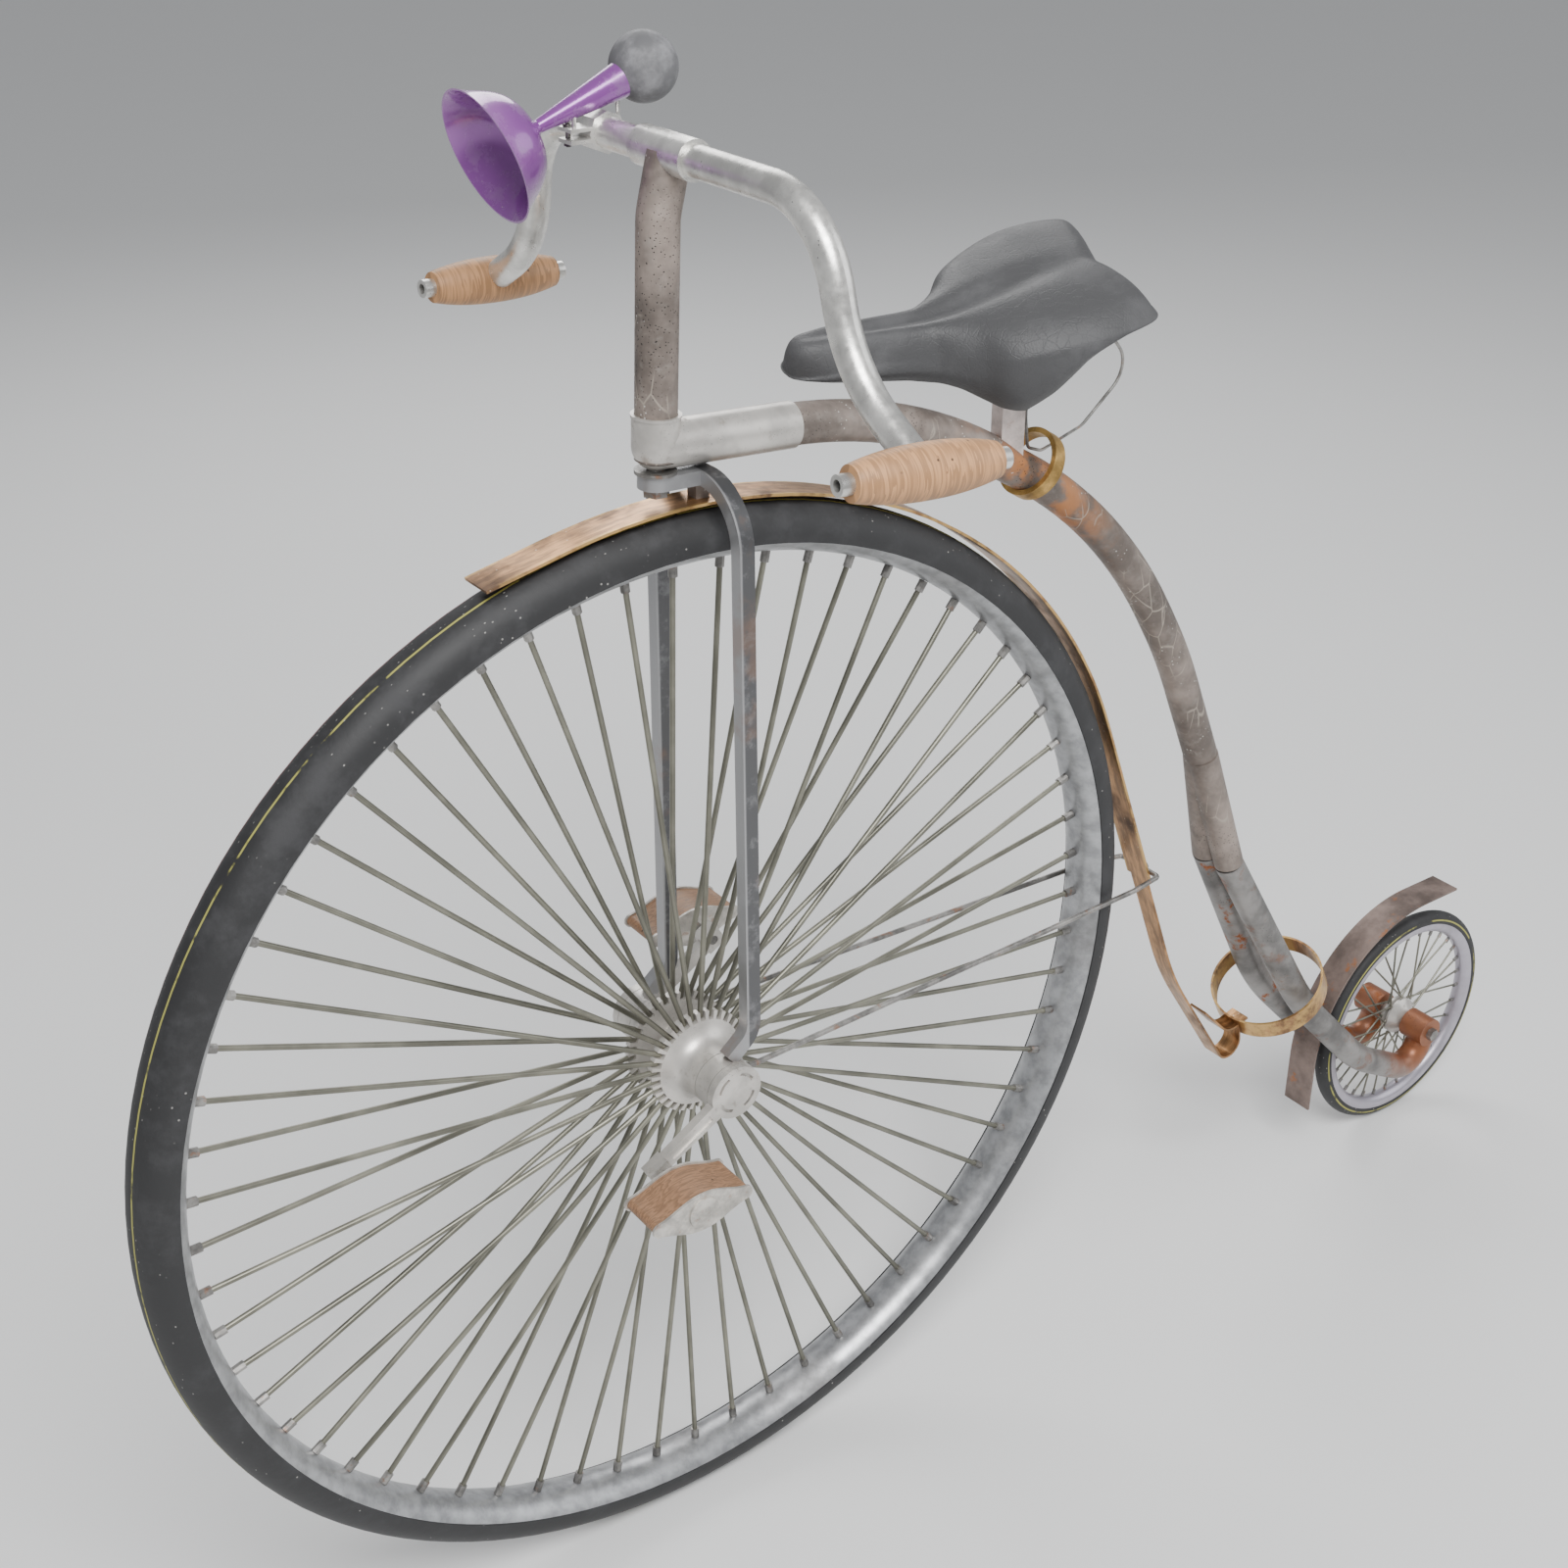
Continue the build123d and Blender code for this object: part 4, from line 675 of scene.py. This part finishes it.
def nipple_tree(material):
    """Small barrels round a circle in the XZ plane, each pointing at its middle."""
    tree = bpy.data.node_groups.new("Spoke nipples", "GeometryNodeTree")
    face = tree.interface
    face.new_socket("Geometry", in_out="OUTPUT", socket_type="NodeSocketGeometry")
    count = face.new_socket("Count", in_out="INPUT", socket_type="NodeSocketInt")
    sizes = [
        face.new_socket(name, in_out="INPUT", socket_type="NodeSocketFloat")
        for name in ("Ring radius", "Nipple radius", "Nipple length")
    ]
    middle_at = face.new_socket("Middle", in_out="INPUT", socket_type="NodeSocketVector")

    def add(kind, settings=None, inputs=None):
        node = tree.nodes.new(kind)
        for key, value in (settings or {}).items():
            setattr(node, key, value)
        for key, value in (inputs or {}).items():
            if isinstance(value, bpy.types.NodeSocket):
                tree.links.new(value, node.inputs[key])
            else:
                node.inputs[key].default_value = value
        return node

    group = tree.nodes.new("NodeGroupInput")
    circle = add("GeometryNodeMeshCircle", None, {"Vertices": group.outputs[0], "Radius": group.outputs[1]})
    barrel = add(
        "GeometryNodeMeshCylinder",
        None,
        {"Vertices": 8, "Radius": group.outputs[2], "Depth": group.outputs[3]},
    )
    place = add("GeometryNodeInputPosition")
    aim = add("FunctionNodeAlignRotationToVector", {"axis": "Z"}, {"Vector": place.outputs[0]})
    dots = add(
        "GeometryNodeInstanceOnPoints",
        None,
        {"Points": circle.outputs[0], "Instance": barrel.outputs[0], "Rotation": aim.outputs[0]},
    )
    upright = (math.radians(90.0), 0.0, 0.0)
    stand = add("GeometryNodeTransform", None, {"Geometry": dots.outputs[0], "Rotation": upright})
    placed = {"Geometry": stand.outputs[0], "Translation": group.outputs[4]}
    shift = add("GeometryNodeTransform", None, placed)
    real = add("GeometryNodeRealizeInstances", None, {"Geometry": shift.outputs[0]})
    paint = add("GeometryNodeSetMaterial", None, {"Geometry": real.outputs[0], "Material": material})
    out = tree.nodes.new("NodeGroupOutput")
    tree.links.new(paint.outputs[0], out.inputs[0])
    return tree, [count.identifier, *(s.identifier for s in sizes), middle_at.identifier]


def nipple_ring(name, tree, keys, values, body):
    bm = bmesh.new()
    piece = new_object(name, bm, finish_named("small_steel"))
    modifier = piece.modifiers.new("Nipples", "NODES")
    modifier.node_group = tree
    for key, value in zip(keys, values):
        modifier[key] = value
    settle(piece)
    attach(piece, body)


class BIKE_OT_nipples(bpy.types.Operator):
    """Makes the nipples that hold the spokes in both rims."""

    bl_idname = "bike.nipples"
    bl_label = "Spoke nipples"

    def execute(self, context):
        s = context.scene.bike_sizes
        tree, keys = nipple_tree(finish_named("small_steel"))
        front_ring = FRONT_R - FRONT_RIM_DEPTH - s.nipple_length / 2 - NIPPLE_GAP
        rear_ring = REAR_R - REAR_RIM_DEPTH - s.nipple_length * 0.3 - NIPPLE_GAP
        front = [s.spoke_count, front_ring, s.nipple_radius, s.nipple_length, tuple(FRONT_AXLE)]
        rear = [s.rear_spoke_count, rear_ring, s.nipple_radius * 0.5, s.nipple_length * 0.6, tuple(REAR_AXLE)]
        nipple_ring("front_spoke_nipples", tree, keys, front, "front_wheel")
        nipple_ring("rear_spoke_nipples", tree, keys, rear, "rear_wheel")
        return {"FINISHED"}


# ---------------------------------------------------------------- stage

CAMERA_AT = (1.2564, 1.4184, 1.7206)
CAMERA_LOOKS = (-0.517, -0.713, -0.474)
CAMERA_LENS = 50.463


def soft_light(name, place, size, power, tint=(1.0, 1.0, 1.0)):
    data = bpy.data.lights.new(name, "AREA")
    data.shape = "DISK"
    data.size = size
    data.energy = power
    data.color = tint
    lamp = bpy.data.objects.new(name, data)
    bpy.context.scene.collection.objects.link(lamp)
    lamp.location = place
    lamp.rotation_mode = "QUATERNION"
    lamp.rotation_quaternion = (Vector((0.0, 0.0, 0.6)) - Vector(place)).to_track_quat("-Z", "Y")
    return lamp


class BIKE_OT_stage(bpy.types.Operator):
    """Makes the floor, the soft lights, the world and the camera."""

    bl_idname = "bike.stage"
    bl_label = "Stage"

    def execute(self, context):
        bm = bmesh.new()
        bmesh.ops.create_grid(bm, x_segments=1, y_segments=1, size=30.0)
        bmesh.ops.translate(bm, verts=bm.verts, vec=(0.0, 0.0, -0.0005))
        p = Paint("pale_floor")
        ground = p.mix(p.cloud(3.0, 2.0) * 0.3, tuple(context.scene.bike_colours.floor), (0.83, 0.83, 0.83))
        floor = new_object("floor", bm, p.finish(ground, 0.75), False)
        lamps = [
            soft_light("key_light", (1.2, 2.2, 3.6), 2.0, 190.0),
            soft_light("fill_light", (-2.8, 1.8, 2.2), 3.0, 45.0, (0.96, 0.98, 1.0)),
            soft_light("back_light", (-1.4, -3.0, 3.0), 2.4, 70.0),
        ]
        world = bpy.data.worlds.new("soft_room")
        world.use_nodes = True
        world.node_tree.nodes["Background"].inputs["Color"].default_value = (0.92, 0.94, 0.97, 1.0)
        world.node_tree.nodes["Background"].inputs["Strength"].default_value = 0.42
        context.scene.world = world
        data = bpy.data.cameras.new("camera")
        data.sensor_width = 36.0
        data.lens = CAMERA_LENS
        camera = bpy.data.objects.new("camera", data)
        context.scene.collection.objects.link(camera)
        camera.location = CAMERA_AT
        camera.rotation_mode = "QUATERNION"
        camera.rotation_quaternion = Vector(CAMERA_LOOKS).to_track_quat("-Z", "Y")
        context.scene.camera = camera
        return {"FINISHED"}


# ---------------------------------------------------------------- panel and start

OPERATORS = (BIKE_OT_finishes, BIKE_OT_saddle, BIKE_OT_strap, BIKE_OT_nipples, BIKE_OT_stage)


class BIKE_PT_panel(bpy.types.Panel):
    """The steps and settings, in the 3D view's sidebar."""

    bl_idname = "BIKE_PT_panel"
    bl_label = "High-wheel bicycle"
    bl_space_type = "VIEW_3D"
    bl_region_type = "UI"
    bl_category = "Bicycle"

    def draw(self, context):
        for operator in OPERATORS:
            self.layout.operator(operator.bl_idname)
        for group in (context.scene.bike_sizes, context.scene.bike_colours):
            for name in group.bl_rna.properties.keys():
                if name not in {"rna_type", "name"}:
                    self.layout.prop(group, name)


CLASSES = (BikeSizes, BikeColours, *OPERATORS, BIKE_PT_panel)


def register():
    for cls in CLASSES:
        bpy.utils.register_class(cls)
    bpy.types.Scene.bike_sizes = bpy.props.PointerProperty(type=BikeSizes)
    bpy.types.Scene.bike_colours = bpy.props.PointerProperty(type=BikeColours)


def unregister():
    del bpy.types.Scene.bike_colours
    del bpy.types.Scene.bike_sizes
    for cls in reversed(CLASSES):
        bpy.utils.unregister_class(cls)


def main():
    register()
    bpy.ops.bike.finishes()
    bpy.ops.bike.saddle()
    bpy.ops.bike.strap()
    bpy.ops.bike.nipples()
    bpy.ops.bike.stage()


if __name__ == "__main__":
    main()
